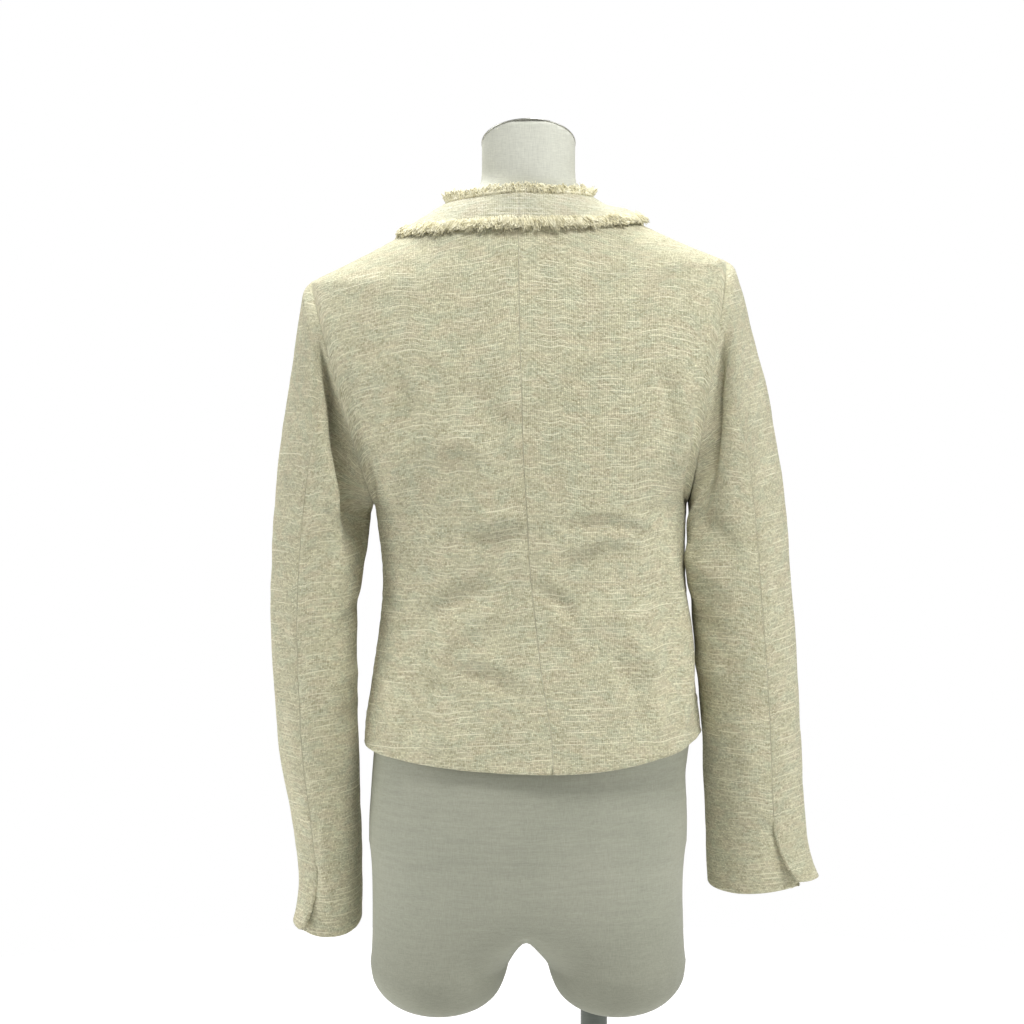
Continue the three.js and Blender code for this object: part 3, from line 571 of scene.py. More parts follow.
def weave_group():
    """Plain weave of uneven yarns: height, a value for each crossing, and the bright slub yarns."""
    group, source, sink = new_group(
        "tweed_weave",
        [("Cloth", "NodeSocketVector", None), ("Pitch", "NodeSocketFloat", 0.0012),
         ("Wander", "NodeSocketFloat", 0.35)],
        [("Height", "NodeSocketFloat"), ("Crossing", "NodeSocketFloat"), ("Slub", "NodeSocketFloat")],
    )
    vector = source.outputs["Cloth"]
    split = group.nodes.new("ShaderNodeSeparateXYZ")
    group.links.new(vector, split.inputs[0])

    def yarn_count(axis, scale):
        drift = noise_node(group, stretched(group, vector, scale), 1.0, 3.0)
        shift = math_node(group, "MULTIPLY", math_node(group, "SUBTRACT", drift, 0.5), 3.0)
        shift = math_node(group, "MULTIPLY", shift, source.outputs["Wander"])
        pitch = math_node(group, "MULTIPLY", source.outputs["Pitch"], 1.4 if axis == 0 else 1.0)
        count = math_node(group, "DIVIDE", split.outputs[axis], pitch)
        return math_node(group, "ADD", count, shift)

    across = yarn_count(0, (420.0, 110.0, 1.0))
    along = yarn_count(1, (90.0, 420.0, 1.0))
    parts = []
    for count in (across, along):
        share = math_node(group, "FRACT", count)
        parts.append(math_node(group, "SINE", math_node(group, "MULTIPLY", share, math.pi)))
    crown = math_node(group, "POWER", math_node(group, "MULTIPLY", parts[0], parts[1]), 0.6)
    chance = group.nodes.new("ShaderNodeTexWhiteNoise")
    chance.noise_dimensions = "2D"
    cell = combine(group, math_node(group, "FLOOR", across), math_node(group, "FLOOR", along))
    group.links.new(cell, chance.inputs["Vector"])
    long_slub = slub_lines(group, split, vector, 0.0052, 0.036, 0.5, 0.0)
    short_slub = slub_lines(group, split, vector, 0.0034, 0.011, 0.5, 3.7)
    slub = math_node(group, "MAXIMUM", long_slub, math_node(group, "MULTIPLY", short_slub, 0.6))
    fuzz = noise_node(group, vector, 2400.0, 3.0, 0.7)
    ribs = math_node(group, "ADD", split.outputs[1], math_node(group, "MULTIPLY", split.outputs[0], 0.8))
    ribs = math_node(group, "SINE", math_node(group, "MULTIPLY", ribs, 2 * math.pi / 0.0052))
    rib_area = band(group, noise_node(group, vector, 16.0, 1.0), 0.45, 0.6)
    height = math_node(group, "MULTIPLY_ADD", chance.outputs["Value"], 0.7, crown)
    height = math_node(group, "MULTIPLY_ADD", slub, 0.9, height)
    height = math_node(group, "MULTIPLY_ADD", math_node(group, "MULTIPLY", ribs, rib_area), 0.25, height)
    height = math_node(group, "MULTIPLY_ADD", fuzz, 0.6, height)
    crossing = math_node(group, "MULTIPLY", crown, 0.4)
    crossing = math_node(group, "MULTIPLY_ADD", chance.outputs["Value"], 0.6, crossing)
    for name, value in (("Height", height), ("Crossing", crossing), ("Slub", slub)):
        group.links.new(value, sink.inputs[name])
    return group


def heather_group():
    """Colour of mixed fibres: single bright and dark crossings, tinted clouds and bright slub yarns."""
    group, source, sink = new_group(
        "heather",
        [("Cloth", "NodeSocketVector", None), ("Base", "NodeSocketColor", grey(0.6)),
         ("Warm", "NodeSocketColor", grey(0.6)), ("Cool", "NodeSocketColor", grey(0.6)),
         ("Bright", "NodeSocketColor", grey(0.8)), ("Deep", "NodeSocketColor", grey(0.3)),
         ("Slub", "NodeSocketFloat", 0.0), ("Crossing", "NodeSocketFloat", 0.5)],
        [("Colour", "NodeSocketColor")],
    )
    vector = source.outputs["Cloth"]
    warm = noise_node(group, stretched(group, vector, (34.0, 60.0, 1.0)), 1.0, 2.0, 0.5)
    warm = band(group, warm, 0.46, 0.62)
    cool = noise_node(group, stretched(group, vector, (40.0, 56.0, 7.0)), 1.3, 2.0, 0.5)
    cool = band(group, cool, 0.48, 0.64)
    colour = colour_mix(group, math_node(group, "MULTIPLY", warm, 0.9), source.outputs["Base"],
                        source.outputs["Warm"])
    colour = colour_mix(group, math_node(group, "MULTIPLY", cool, 0.8), colour, source.outputs["Cool"])
    dark = band(group, source.outputs["Crossing"], 0.42, 0.12)
    light = band(group, source.outputs["Crossing"], 0.62, 0.95)
    colour = colour_mix(group, math_node(group, "MULTIPLY", dark, 0.85), colour, source.outputs["Deep"])
    colour = colour_mix(group, math_node(group, "MULTIPLY", light, 0.7), colour, source.outputs["Bright"])
    streak = noise_node(group, stretched(group, vector, (60.0, 520.0, 1.0)), 1.0, 3.0, 0.6)
    streaks = ramp_node(group, streak, [(0.3, grey(0.87)), (0.7, grey(1.09))])
    colour = colour_mix(group, 1.0, colour, streaks, "MULTIPLY")
    slub = math_node(group, "MULTIPLY", source.outputs["Slub"], 0.85)
    colour = colour_mix(group, slub, colour, source.outputs["Bright"])
    cloud = noise_node(group, vector, 30.0, 3.0, 0.55)
    shade = ramp_node(group, cloud, [(0.3, grey(0.94)), (0.7, grey(1.04))])
    colour = colour_mix(group, 1.0, colour, shade, "MULTIPLY")
    group.links.new(colour, sink.inputs["Colour"])
    return group


WEAVE = weave_group()
HEATHER = heather_group()


def new_material(name, roughness, sheen=0.0, metallic=0.0, specular=0.5):
    material = bpy.data.materials.new(name)
    material.use_nodes = True
    shader = material.node_tree.nodes["Principled BSDF"]
    shader.inputs["Roughness"].default_value = roughness
    shader.inputs["Sheen Weight"].default_value = sheen
    shader.inputs["Sheen Roughness"].default_value = 0.5
    shader.inputs["Metallic"].default_value = metallic
    shader.inputs["Specular IOR Level"].default_value = specular
    return material, material.node_tree, shader


def add_bump(tree, shader, height, strength, distance):
    node = tree.nodes.new("ShaderNodeBump")
    node.inputs["Strength"].default_value = strength
    node.inputs["Distance"].default_value = distance
    tree.links.new(height, node.inputs["Height"])
    tree.links.new(node.outputs["Normal"], shader.inputs["Normal"])


def tweed_material(name, colours, pitch=0.0012):
    material, tree, shader = new_material(name, 0.95, sheen=0.2, specular=0.1)
    uv = tree.nodes.new("ShaderNodeUVMap")
    uv.uv_map = "cloth"
    weave = tree.nodes.new("ShaderNodeGroup")
    weave.node_tree = WEAVE
    weave.inputs["Pitch"].default_value = pitch
    tree.links.new(uv.outputs[0], weave.inputs["Cloth"])
    heather = tree.nodes.new("ShaderNodeGroup")
    heather.node_tree = HEATHER
    tree.links.new(uv.outputs[0], heather.inputs["Cloth"])
    for socket, colour in colours.items():
        heather.inputs[socket].default_value = colour
    for socket in ("Slub", "Crossing"):
        tree.links.new(weave.outputs[socket], heather.inputs[socket])
    tree.links.new(heather.outputs["Colour"], shader.inputs["Base Color"])
    add_bump(tree, shader, weave.outputs["Height"], 0.75, 0.0007)
    return material


def fringe_material():
    material, tree, shader = new_material("frayed_yarn", 1.0, sheen=0.3, specular=0.1)
    place_node = tree.nodes.new("ShaderNodeTexCoord")
    fibre = noise_node(tree, place_node.outputs["Object"], 900.0, 3.0, 0.6)
    tint = noise_node(tree, place_node.outputs["Object"], 160.0, 2.0)
    colour = ramp_node(tree, tint, [(0.3, linear(221, 214, 178)), (0.7, linear(236, 231, 203))])
    tree.links.new(colour, shader.inputs["Base Color"])
    add_bump(tree, shader, fibre, 0.6, 0.0004)
    return material


def linen_material():
    material, tree, shader = new_material("linen_cover", 0.85, sheen=0.1, specular=0.2)
    place_node = tree.nodes.new("ShaderNodeTexCoord")
    where = place_node.outputs["Object"]
    threads = noise_node(tree, stretched(tree, where, (160.0, 160.0, 2400.0)), 1.0, 2.0, 0.6)
    warp = noise_node(tree, stretched(tree, where, (2200.0, 2200.0, 120.0)), 1.0, 2.0, 0.6)
    weave = math_node(tree, "ADD", threads, warp)
    cloud = noise_node(tree, where, 9.0, 3.0, 0.5)
    slow = noise_node(tree, stretched(tree, where, (22.0, 22.0, 260.0)), 1.0, 3.0, 0.6)
    colour = ramp_node(tree, cloud, [(0.35, linear(163, 165, 148)), (0.65, linear(170, 171, 154))])
    grain = ramp_node(tree, math_node(tree, "MULTIPLY", weave, 0.5), [(0.35, grey(0.82)), (0.62, grey(1.04))])
    lines = ramp_node(tree, slow, [(0.3, grey(0.92)), (0.7, grey(1.03))])
    colour = colour_mix(tree, 1.0, colour, lines, "MULTIPLY")
    split = tree.nodes.new("ShaderNodeSeparateXYZ")
    tree.links.new(where, split.inputs[0])
    # painted shade: the linen colour darkens towards the bottom of the form, standing in for the shade low
    # down on the hips and stubs
    painted_shade_low = band(tree, split.outputs[2], 0.47, 0.33)
    colour = colour_mix(tree, painted_shade_low, colour, linear(148, 149, 133))
    # painted light: the linen colour brightens at the neck, standing in for the stronger light falling from
    # above
    upper = band(tree, split.outputs[2], 0.95, 1.12)
    colour = colour_mix(tree, upper, colour, linear(212, 213, 200))
    tree.links.new(colour_mix(tree, 1.0, colour, grain, "MULTIPLY"), shader.inputs["Base Color"])
    add_bump(tree, shader, weave, 0.2, 0.0003)
    return material


def metal_material(name, colour, roughness):
    material, tree, shader = new_material(name, roughness, metallic=1.0)
    place_node = tree.nodes.new("ShaderNodeTexCoord")
    brushed = noise_node(tree, stretched(tree, place_node.outputs["Object"], (30.0, 30.0, 900.0)), 1.0, 3.0)
    shade = ramp_node(tree, brushed, [(0.3, tuple(0.85 * c for c in colour[:3]) + (1.0,)), (0.7, colour)])
    tree.links.new(shade, shader.inputs["Base Color"])
    add_bump(tree, shader, brushed, 0.15, 0.0002)
    return material


TWEED = tweed_material("oatmeal_tweed", {
    "Base": linear(208, 204, 171), "Warm": linear(211, 203, 171), "Cool": linear(203, 204, 173),
    "Bright": linear(247, 244, 216), "Deep": linear(150, 142, 106)})
COLLAR_TWEED = tweed_material("collar_tweed", {
    "Base": linear(209, 206, 178), "Warm": linear(212, 205, 178), "Cool": linear(205, 206, 180),
    "Bright": linear(238, 236, 216), "Deep": linear(172, 165, 132)})
FRINGE = fringe_material()
LINEN = linen_material()
CAP_METAL = metal_material("satin_cap", linear(206, 206, 200), 0.35)
STEEL = metal_material("grey_steel", linear(100, 104, 98), 0.38)

# ---------------------------------------------------------------- body panels

SEAM_ROLL = 0.2  # how far an edge dips at a seam
SEAM_REACH = 1.8  # over this distance from the seam
SEAM_TURN = (0.25, 1)
HEM_TURN = (2.0, 5)
OPENING_TURN = (1.1, 2)
OPENING_INSET = 1.3
GRAIN = {
    (LEFT, BACK): math.radians(5),
    (RIGHT, BACK): math.radians(1),
    (LEFT, FRONT): 0.0,
    (RIGHT, FRONT): 0.0,
}


def seam_pucker(distance, along, seed):
    """Small uneven gathers beside a seam."""
    waves = np.sin(along * 0.62 + seed) + 0.7 * np.sin(along * 0.37 + 2 * seed)
    return 0.22 * waves * bump(distance - 4, 4.5)


def panel(side, face):
    row_share, column_share = share_grid(144, 76)
    row = (LOW_ROWS + ARM_ROWS + TOP_ROWS) * row_share
    points = relax(body_points(side, face, row, column_share), 16)
    outward = points * np.array([1, 1, 0])
    normals = grid_normals(points, outward)
    from_seam = arc_lengths(points, 1)
    normals = unit(normals * mix(np.array([0, 1, 1]), 1, ease(from_seam / 12)[..., None]))
    from_side = from_seam[:, -1:] - from_seam
    from_hem = arc_lengths(points, 0)
    from_neck = from_hem[-1:] - from_hem

    relief = crease_relief(points[..., 0], points[..., 2], BODY_CREASES[face], "x", "z")
    relief = relief + 0.8 * rough(points, 60, 3) + 0.45 * rough(points, 21, 5) + 0.15 * rough(points, 8, 6)
    relief = relief * ease(from_neck / 60) * ease(from_side / 16)
    relief = relief + 2.4 * (1 - ease(from_hem / 55))
    relief = relief + 0.5 * bump(from_hem - 30, 3) - 0.5 * bump(from_hem - 34, 2)
    relief = relief - SEAM_ROLL * np.maximum(bump(from_seam, SEAM_REACH), bump(from_side, SEAM_REACH))
    relief = relief + seam_pucker(from_seam, from_hem, 1 + face) + seam_pucker(from_side, from_hem, 2 + side)
    hole = ARMHOLE[side]
    up_hole = (points[:, -1:, 2] - hole["under_z"]) / (hole["tip_z"] - hole["under_z"])
    beside_hole = ease((up_hole + 0.1) / 0.1) * (1 - ease((up_hole - 0.35) / 0.4))
    relief = relief - 3.5 * beside_hole * bump(from_side - 10, 7) * ease(from_side / 6)
    points = points + normals * relief[..., None]
    across = unit(np.gradient(points, axis=1))
    points = points + across * (CLOSED / 2 * (bump(from_seam, 1.0) - bump(from_side, 1.0)))[..., None]
    points = points + across * (OPENING_INSET * (face == FRONT) * bump(from_seam, 3))[..., None]

    name = f"{FACE_NAME[face]}_{SIDE_NAME[side]}"
    middle_edge = {BACK: SEAM_TURN, FRONT: OPENING_TURN}[face]
    edges = {"first_column": middle_edge, "last_column": SEAM_TURN, "first_row": HEM_TURN}
    piece = cloth(f"cloth_{name}", points, TWEED, edges, outward, GRAIN[side, face], level="first_row")
    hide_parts(name)


# ---------------------------------------------------------------- sleeves

HOLLOW = {LEFT: 29.0, RIGHT: 25.0}  # how deep the sleeve sinks beside the lower half of its armhole
FLAP = {
    LEFT: {"edge": 3.0, "out": 14.0, "back": 7.0, "up": 8.0},
    RIGHT: {"edge": 5.0, "out": 13.0, "back": 7.0, "up": 13.0},
}
UNDERLAP = {"past": 22.0, "in": 3.0, LEFT: 2.0, RIGHT: 5.0}


def sleeve_points(side, along, turn):
    """Points of a sleeve: along is 0 at the armhole and 1 at the cuff, turn is 0 on the outer line."""
    hole = ARMHOLE[side]
    rings = SLEEVE[side]
    first = {"out_x": hole["tip_x"], "out_z": hole["tip_z"], "in_x": hole["under_x"], "in_z": hole["under_z"],
             "y": 0, "depth": hole["half_depth"], "drop": 0}
    table = {name: [first[name], *rings[name]] for name in first}
    steps = np.hypot(np.diff(table["out_x"]), np.diff(table["out_z"])) + 12
    table["z"] = np.concatenate([[0], np.cumsum(steps)])
    ring = {name: smooth_column(table, name, along * table["z"][-1]) for name in first}
    t = (1 + np.cos(turn)) / 2
    x = side * mix(ring["in_x"], ring["out_x"], t)
    y = ring["y"] + ring["depth"] * np.sin(turn)
    z = mix(ring["in_z"], ring["out_z"], t) - ring["drop"] * np.sin(turn)
    return np.stack([x, y, z], axis=-1)


def sleeve_piece(side, part, start, stop, columns):
    row_share, column_share = share_grid(170, columns)
    turn = mix(start, stop, column_share)
    points = sleeve_points(side, row_share, turn)
    outer_line = sleeve_points(side, row_share, turn * 0)
    middle = (outer_line + sleeve_points(side, row_share, turn * 0 + math.pi)) / 2
    outward = points - middle
    normals = grid_normals(points, outward)
    round_way = unit(np.gradient(points, axis=1))
    from_first = arc_lengths(points, 1)
    from_last = from_first[:, -1:] - from_first
    from_top = arc_lengths(points, 0)
    from_cuff = from_top[-1:] - from_top

    degrees = np.degrees(turn) % 360
    relief = crease_relief(degrees, points[..., 2], SLEEVE_CREASES[side], "a", "z")
    relief = relief + 0.8 * rough(points, 48, 8) + 0.4 * rough(points, 18, 9) + 0.15 * rough(points, 8, 6)
    relief = relief * ease(from_top / 25) * ease(from_cuff / 20 + 0.3)
    up_hole = (1 + np.cos(turn)) / 2
    low = (1 - ease((up_hole - 0.45) / 0.45)) * np.abs(np.sin(turn)) ** 0.5
    low = low * (1 if side == LEFT else ease(up_hole / 0.25))
    relief = relief - HOLLOW[side] * low * bump(from_top - 14, 30) * ease(from_top / 10)
    relief = relief + 1.6 * ease((up_hole - 0.6) / 0.3) * bump(from_top - 9, 9)
    edge = np.maximum(bump(from_first, SEAM_REACH), bump(from_last, SEAM_REACH))
    relief = relief - SEAM_ROLL * edge - 0.8 * bump(from_top, 3.0)
    relief = relief + seam_pucker(from_first, from_top, 1) + seam_pucker(from_last, from_top, 4)
    moved = points + normals * relief[..., None]
    inset = CLOSED / 2 * (bump(from_first, 1.0) - bump(from_last, 1.0))
    moved = moved + round_way * inset[..., None]
    toward_body = unit(points[:1] - points[1:2])
    moved = moved + toward_body * (3.0 * low * bump(from_top, 6))[..., None]

    if side == RIGHT:
        at_side = bump(degrees - 146, 27) * bump(moved[..., 2] - 750, 60) * ease(from_top / 25)
        moved[..., 0] += 9.0 * at_side
    below = np.clip((VENT_TOP[side] - points[..., 2]) / (VENT_TOP[side] - CUFF_EDGE[side]), 0, 1.1)
    if part == "top":
        flap = FLAP[side]
        wide = below**2 * ease((math.radians(110) - (stop - turn)) / math.radians(75))
        moved = moved + wide[..., None] * np.array([side * flap["out"], flap["back"], flap["up"]])
        moved[..., 0] += side * flap["edge"] * below * ease(1 - (stop - turn) / math.radians(45))
        thick = mix(SEAM_TURN[0], HEM_TURN[0], ease(below[:, -1] * 8))
        edges = {"first_column": SEAM_TURN, "last_column": (thick, 2), "last_row": HEM_TURN}
    else:
        near = ease(1 - (turn - start) / math.radians(50))
        under = ease(1 - (turn - start) / math.radians(30)) * ease(below * 6)
        moved = moved - round_way * (UNDERLAP["past"] * near * below)[..., None]
        moved = moved - normals * (UNDERLAP["in"] * under)[..., None]
        moved[..., 2] += UNDERLAP[side] * near * below
        edges = {"first_column": SEAM_TURN, "last_column": SEAM_TURN, "last_row": HEM_TURN}

    name = f"sleeve_{part}_{SIDE_NAME[side]}"
    piece = cloth(f"cloth_{name}", moved, TWEED, edges, outward, math.radians(2 * side), level="last_row")
    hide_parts(name)


# ---------------------------------------------------------------- collar and its frayed edges

COLLAR_EDGE = 0.6


def collar_points(side, down, around):
    """Body points under the collar: down is 1 at the neckline, around runs from the back to the front."""
    back_share = np.clip(around * 2, 0, 1)
    front_share = np.clip(2 - around * 2, 0, 1)
    row = LOW_ROWS + ARM_ROWS + TOP_ROWS * down
    back = body_points(side, BACK, row, back_share)
    front = body_points(side, FRONT, row, front_share)
    return np.where((around <= 0.5)[..., None], back, front)


def collar_outward(points):
    return points * np.array([1, 1, 0]) + np.array([0, 0, 60.0])


def collar_lift(side, down, around):
    """Height of the collar's upper face over the jacket: low at the neck, rolling over at its edge."""
    out = np.clip(1 - (down - COLLAR_EDGE) / (1 - COLLAR_EDGE), 0, 1.2)
    wave = (0.6 * np.sin(around * 29 + side) + 0.4 * np.sin(around * 61 + 2 * side)) * ease(around * 12)
    at_shoulder = bump(around - 0.5, 0.2)
    roll = 1.8 * (1 - 0.8 * at_shoulder) * np.sin(np.clip(out, 0, 1) * math.pi * 0.55)
    lift = 2.3 + roll + (0.8 + wave) * out**3
    crest = {RIGHT: 4.0, LEFT: 1.0}[side]
    return lift + crest * bump(around - 0.47, 0.08) * ease((out - 0.35) / 0.4)


def collar(side):
    row_share, column_share = share_grid(30, 150)
    down = mix(COLLAR_EDGE, 1.0, row_share)
    points = relax(collar_points(side, down, column_share), 6)
    outward = collar_outward(points)
    normals = grid_normals(points, outward)
    relief = collar_lift(side, down, column_share) + 0.5 * rough(points, 22, 12) + 0.25 * rough(points, 9, 13)
    from_join = arc_lengths(points, 1)
    from_last = from_join[:, -1:] - from_join
    points = points + normals * (relief - 0.4 * bump(from_last, 2.0))[..., None]
    points[:, 0, 0] -= side * 0.15

    name = f"collar_{SIDE_NAME[side]}"
    edges = {"last_column": SEAM_TURN}
    piece = cloth(f"cloth_{name}", points, COLLAR_TWEED, edges, outward, level="first_row")
    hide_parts(name)


def yarn(path, radii, sides):
    """Points and faces of a closed thin tube along a path."""
    points, faces = [], []
    count = len(path)
    ahead = unit(np.gradient(path, axis=0))
    side_way = unit(np.cross(ahead, [0.31, 0.22, 0.93]))
    up_way = np.cross(ahead, side_way)
    for i in range(count):
        for k in range(sides):
            turn = 2 * math.pi * k / sides
            points.append(path[i] + radii[i] * (math.cos(turn) * side_way[i] + math.sin(turn) * up_way[i]))
    for i in range(count - 1):
        for k in range(sides):
            a, b = i * sides + k, i * sides + (k + 1) % sides
            faces.append((a, b, b + sides, a + sides))
    faces.append(tuple(range(sides))[::-1])
    faces.append(tuple((count - 1) * sides + k for k in range(sides)))
    return points, faces


def loop_path(rng, root, way, reach):
    """A loop of loose yarn that leaves the edge, curls and comes back beside its root."""
    t = np.linspace(0, 1, 9)[:, None]
    wide = rng.uniform(1.6, 4.0)
    lean = rng.uniform(-1.2, 1.2)
    puff = rng.uniform(0.2, 2.2)
    skew = rng.uniform(-0.5, 0.5)
    hang = reach * np.sin(math.pi * t) ** 0.8
    slide = wide * (t - 0.5) * (1 + 0.9 * np.sin(math.pi * t)) + lean * np.sin(math.pi * t)
    stand = puff * np.sin(math.pi * t) + skew * np.sin(2 * math.pi * t)
    return root + way["down"] * hang + way["along"] * slide + way["up"] * stand


def strand_path(rng, root, way, reach):
    """A loose end that hangs from the edge and curls."""
    t = np.linspace(0, 1, 6)[:, None]
    lean = rng.uniform(-0.35, 0.35) * reach
    curl = rng.uniform(-1.6, 1.6)
    hang = reach * t
    slide = lean * t + curl * np.sin(4 * t)
    stand = rng.uniform(-0.6, 1.6) * np.sin(math.pi * t * 0.8)
    return root + way["down"] * hang + way["along"] * slide + way["up"] * stand


def fringe(side, kind, line, reach, counts, seed):
    """Loops and loose ends along an edge line, in layers from under the edge to on top of it."""
    rng = random.Random(seed)
    points, faces = [], []

    def add(path, radius, sides):
        radii = [radius * rng.uniform(0.7, 1.25) for _ in path]
        new_points, new_faces = yarn(path, radii, sides)
        base = len(points)
        points.extend(new_points)
        faces.extend(tuple(base + k for k in face) for face in new_faces)

    last = len(line["root"]) - 1
    for out, thick in ((1.0, 1.9), (3.4, 1.8), (5.8, 1.5)):
        lump = [0.9 + 0.5 * noise.noise(Vector(p / 4) + Vector((0, out, 0))) for p in line["root"]]
        core = line["root"] + line["down"] * out * np.array(lump)[:, None] + line["up"] * 0.4
        new_points, new_faces = yarn(core, thick * np.array(lump), 8)
        base = len(points)
        points.extend(new_points)
        faces.extend(tuple(base + k for k in face) for face in new_faces)
    for shape, count in counts.items():
        for n in range(count):
            spot = (n + rng.random()) / count * (last - 0.01)
            i, share = int(spot), spot - int(spot)
            way = {key: line[key][i] for key in ("down", "along", "up")}
            clump = 0.8 + 0.45 * noise.noise(Vector(line["root"][i] / 6))
            root = mix(line["root"][i], line["root"][i + 1], share) + way["up"] * rng.uniform(0.0, 2.0)
            root = root - way["down"] * rng.uniform(-1.0, 3.5)
            if shape == "loops":
                path = loop_path(rng, root, way, clump * rng.uniform(0.55, 1.0) * reach)
                add(path, rng.uniform(0.35, 0.65), 5)
            else:
                path = strand_path(rng, root, way, clump * rng.uniform(0.6, 1.1) * reach)
                add(path, rng.uniform(0.16, 0.34), 4)
    name = f"{kind}_fringe_{SIDE_NAME[side]}"
    mesh = bpy.data.meshes.new(f"yarns_{name}")
    mesh.from_pydata([Vector(p * MM) for p in points], [], faces)
    mesh.update()
    for polygon in mesh.polygons:
        polygon.use_smooth = True
    piece = new_piece(f"yarns_{name}", mesh, FRINGE)
    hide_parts(name)


def collar_fringes(side):
    steps = 160
    around = np.tile(np.linspace(0, 1, steps), (4, 1))
    down = np.array([COLLAR_EDGE + 0.02, COLLAR_EDGE + 0.06, 0.94, 0.98])[:, None] + 0 * around
    points = collar_points(side, down, around)
    normals = grid_normals(points, collar_outward(points))
    lifted = points + normals * (collar_lift(side, down, around) - 0.6)[..., None]
    along = unit(np.gradient(lifted, axis=1))
    outer_down = unit(unit(lifted[0] - lifted[1]) + np.array([0, 0, -0.15]) - 0.24 * normals[0])
    outer = {"root": lifted[0], "down": outer_down, "along": along[0], "up": normals[0]}
    fringe(side, "outer", outer, 12.5, {"loops": 400, "ends": 1450}, 40 + side)
    over = 1.3 * bump(around[3] - 0.5, 0.15)[:, None]
    inward = unit(lifted[3] - lifted[2]) * (1 - over)
    neck_up = unit(inward + np.array([0, 0, 1.0]) * (1 - 0.4 * over) + 0.3 * normals[3])
    neck = {"root": lifted[3], "down": neck_up, "along": along[3], "up": normals[3]}
    fringe(side, "neck", neck, 9.5, {"loops": 240, "ends": 850}, 50 + side)


# ---------------------------------------------------------------- the dress form


NECK_TOP = {"z": 1125, "slope": 0.47, "half_width": 42.4, BACK: 42.0, FRONT: 43.8, "plate": 1.1}


def form():
    """The linen-covered form: the plain solid evened out and softened, cut clean at the neck."""
    bm = bmesh.new()
    bm.from_mesh(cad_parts["form_body"].data)
    bmesh.ops.remove_doubles(bm, verts=bm.verts, dist=0.00005)
    for vert in bm.verts:
        above = vert.co.z / MM - NECK_TOP["slope"] * vert.co.y / MM - NECK_TOP["z"]
        vert.co.z += 22 * MM if above > -4 else 0
    mesh = bpy.data.meshes.new("form_cover")
    bm.to_mesh(mesh)
    bm.free()
    piece = new_piece("form_cover", mesh, LINEN)
    even = piece.modifiers.new("even", "REMESH")
    even.mode = "VOXEL"
    even.voxel_size = 0.0042
    bpy.context.view_layer.objects.active = piece
    bpy.ops.object.modifier_apply(modifier="even")
    bm = bmesh.new()
    bm.from_mesh(piece.data)
    low = [vert for vert in bm.verts if vert.co.z < 0.52]
    axes = {"use_axis_x": True, "use_axis_y": True, "use_axis_z": True}
    for step in range(90):
        some = bm.verts if step < 20 else low
        for factor in (0.6, -0.62):
            bmesh.ops.smooth_vert(bm, verts=some, factor=factor, **axes)
    band_verts = [vert for vert in low if 0.372 < vert.co.z < 0.485]
    for step in range(150):
        bmesh.ops.smooth_vert(bm, verts=band_verts, factor=0.6, **axes)
    for vert in low:
        facing_down = max(0.0, -vert.normal.z)
        arch = bump(vert.co.x / MM - 2.5, 12) * ease((420 - vert.co.z / MM) / 20)
        vert.co.z += 13 * MM * facing_down * arch
    for vert in bm.verts:
        covered = ease((vert.co.z - 0.585) / 0.03) * (1 - ease((vert.co.z - 1.05) / 0.02))
        vert.co -= vert.normal * float(2.5 * MM * covered)
        if vert.co.z > 1.07:
            depth = NECK_TOP[BACK if vert.co.y > 0 else FRONT] * MM
            out = math.hypot(vert.co.x / NECK_TOP["half_width"] / MM, vert.co.y / depth)
            pull = float(ease((vert.co.z - 1.07) / 0.035)) if out > 1 else 0.0
            vert.co.x *= mix(1.0, 1 / out, pull) if pull else 1.0
            vert.co.y *= mix(1.0, 1 / out, pull) if pull else 1.0
    cut = Vector((0, 0, NECK_TOP["z"] * MM))
    lean = Vector((0, -NECK_TOP["slope"], 1)).normalized()
    whole = bm.verts[:] + bm.edges[:] + bm.faces[:]
    made = bmesh.ops.bisect_plane(bm, geom=whole, plane_co=cut, plane_no=lean, clear_outer=True)
    rim = [item for item in made["geom_cut"] if isinstance(item, bmesh.types.BMEdge)]
    bmesh.ops.holes_fill(bm, edges=rim)
    for face in bm.faces:
        face.smooth = len(face.verts) < 9
    bm.to_mesh(piece.data)
    bm.free()
    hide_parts("form_body")


def neck_plate():
    """The thin metal plate that closes the sloping top of the neck."""
    bm = bmesh.new()
    bmesh.ops.create_circle(bm, cap_ends=True, segments=96, radius=1.0)
    for vert in bm.verts:
        x = vert.co.x * (NECK_TOP["half_width"] + 0.5)
        y = vert.co.y * (NECK_TOP[BACK if vert.co.y > 0 else FRONT] + 0.5)
        vert.co = Vector((x, y, NECK_TOP["z"] + 0.15 + NECK_TOP["slope"] * y)) * MM
    made = bmesh.ops.extrude_face_region(bm, geom=bm.faces[:])["geom"]
    for vert in [item for item in made if isinstance(item, bmesh.types.BMVert)]:
        vert.co.z += NECK_TOP["plate"] * MM
    bmesh.ops.recalc_face_normals(bm, faces=bm.faces)
    mesh = bpy.data.meshes.new("neck_plate")
    bm.to_mesh(mesh)
    bm.free()
    piece = new_piece("neck_plate", mesh, CAP_METAL)
    bevel = piece.modifiers.new("edge", "BEVEL")
    bevel.width = 0.0004
    bevel.segments = 2
    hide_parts("neck_cap")


def dress_node(name, material):
    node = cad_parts[name]
    for slot in node.material_slots:
        slot.material = material


# ---------------------------------------------------------------- stage, light and camera


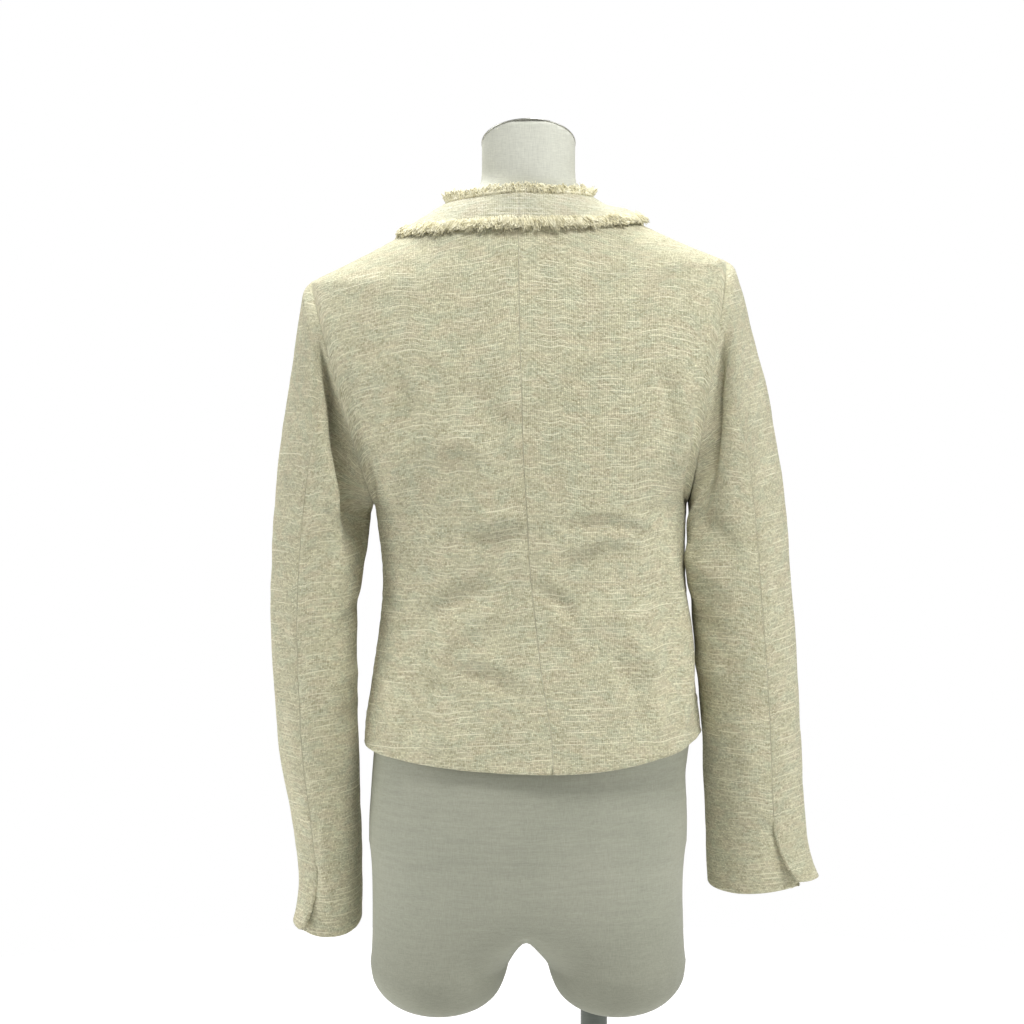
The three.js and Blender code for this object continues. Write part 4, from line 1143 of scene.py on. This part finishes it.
def stage():
    mesh = bpy.data.meshes.new("floor")
    bm = bmesh.new()
    bmesh.ops.create_circle(bm, cap_ends=True, segments=96, radius=1.6)
    bm.to_mesh(mesh)
    bm.free()
    floor = bpy.data.objects.new("floor", mesh)
    bpy.context.collection.objects.link(floor)
    floor.location.z = -0.0005
    material, _, shader = new_material("pale_floor", 0.9)
    shader.inputs["Base Color"].default_value = grey(0.85)
    shader.inputs["Emission Color"].default_value = grey(1.0)
    shader.inputs["Emission Strength"].default_value = 0.42
    mesh.materials.append(material)


def area_light(name, place_at, aim, size, power):
    data = bpy.data.lights.new(name, "AREA")
    data.shape = "DISK"
    data.size = size
    data.energy = power
    light = bpy.data.objects.new(name, data)
    bpy.context.collection.objects.link(light)
    light.location = place_at
    light.rotation_euler = (Vector(aim) - Vector(place_at)).to_track_quat("-Z", "Y").to_euler()


def studio():
    scene = bpy.context.scene
    scene.view_settings.view_transform = "Standard"
    world = bpy.data.worlds.new("studio")
    scene.world = world
    world.use_nodes = True
    tree = world.node_tree
    background = tree.nodes["Background"]
    background.inputs["Color"].default_value = grey(1.0)
    seen = tree.nodes.new("ShaderNodeLightPath")
    strength = math_node(tree, "MULTIPLY_ADD", seen.outputs["Is Camera Ray"], 0.795, 0.205)
    tree.links.new(strength, background.inputs["Strength"])
    area_light("key", (-0.44, 0.85, 2.72), (0, 0, 0.8), 0.7, 42)
    area_light("left", (1.85, 0.22, 0.95), (0, 0, 0.7), 1.0, 17)
    area_light("right", (-1.6, 0.65, 1.0), (0, 0, 0.7), 1.0, 9.5)
    area_light("front", (0.3, -0.65, 2.4), (0, 0, 0.9), 0.9, 36)

    data = bpy.data.cameras.new("view")
    data.lens = 88.2
    camera = bpy.data.objects.new("view", data)
    bpy.context.collection.objects.link(camera)
    camera.location = (0.015, 2.3, 0.985)
    aim = Vector((0.015, 0, 0.790))
    camera.rotation_euler = (aim - camera.location).to_track_quat("-Z", "Y").to_euler()
    scene.camera = camera


for wearer_side in (LEFT, RIGHT):
    for panel_face in (BACK, FRONT):
        panel(wearer_side, panel_face)
    sleeve_piece(wearer_side, "top", FRONT_SEAM - 2 * math.pi, BACK_SEAM, 84)
    sleeve_piece(wearer_side, "under", BACK_SEAM, FRONT_SEAM, 66)
    collar(wearer_side)
    collar_fringes(wearer_side)
form()
neck_plate()
for steel_node in ("pole", "base_plate", "base_socket"):
    dress_node(steel_node, STEEL)
stage()
studio()


def plain(bounds):
    return [[float(value) for value in corner] for corner in bounds]
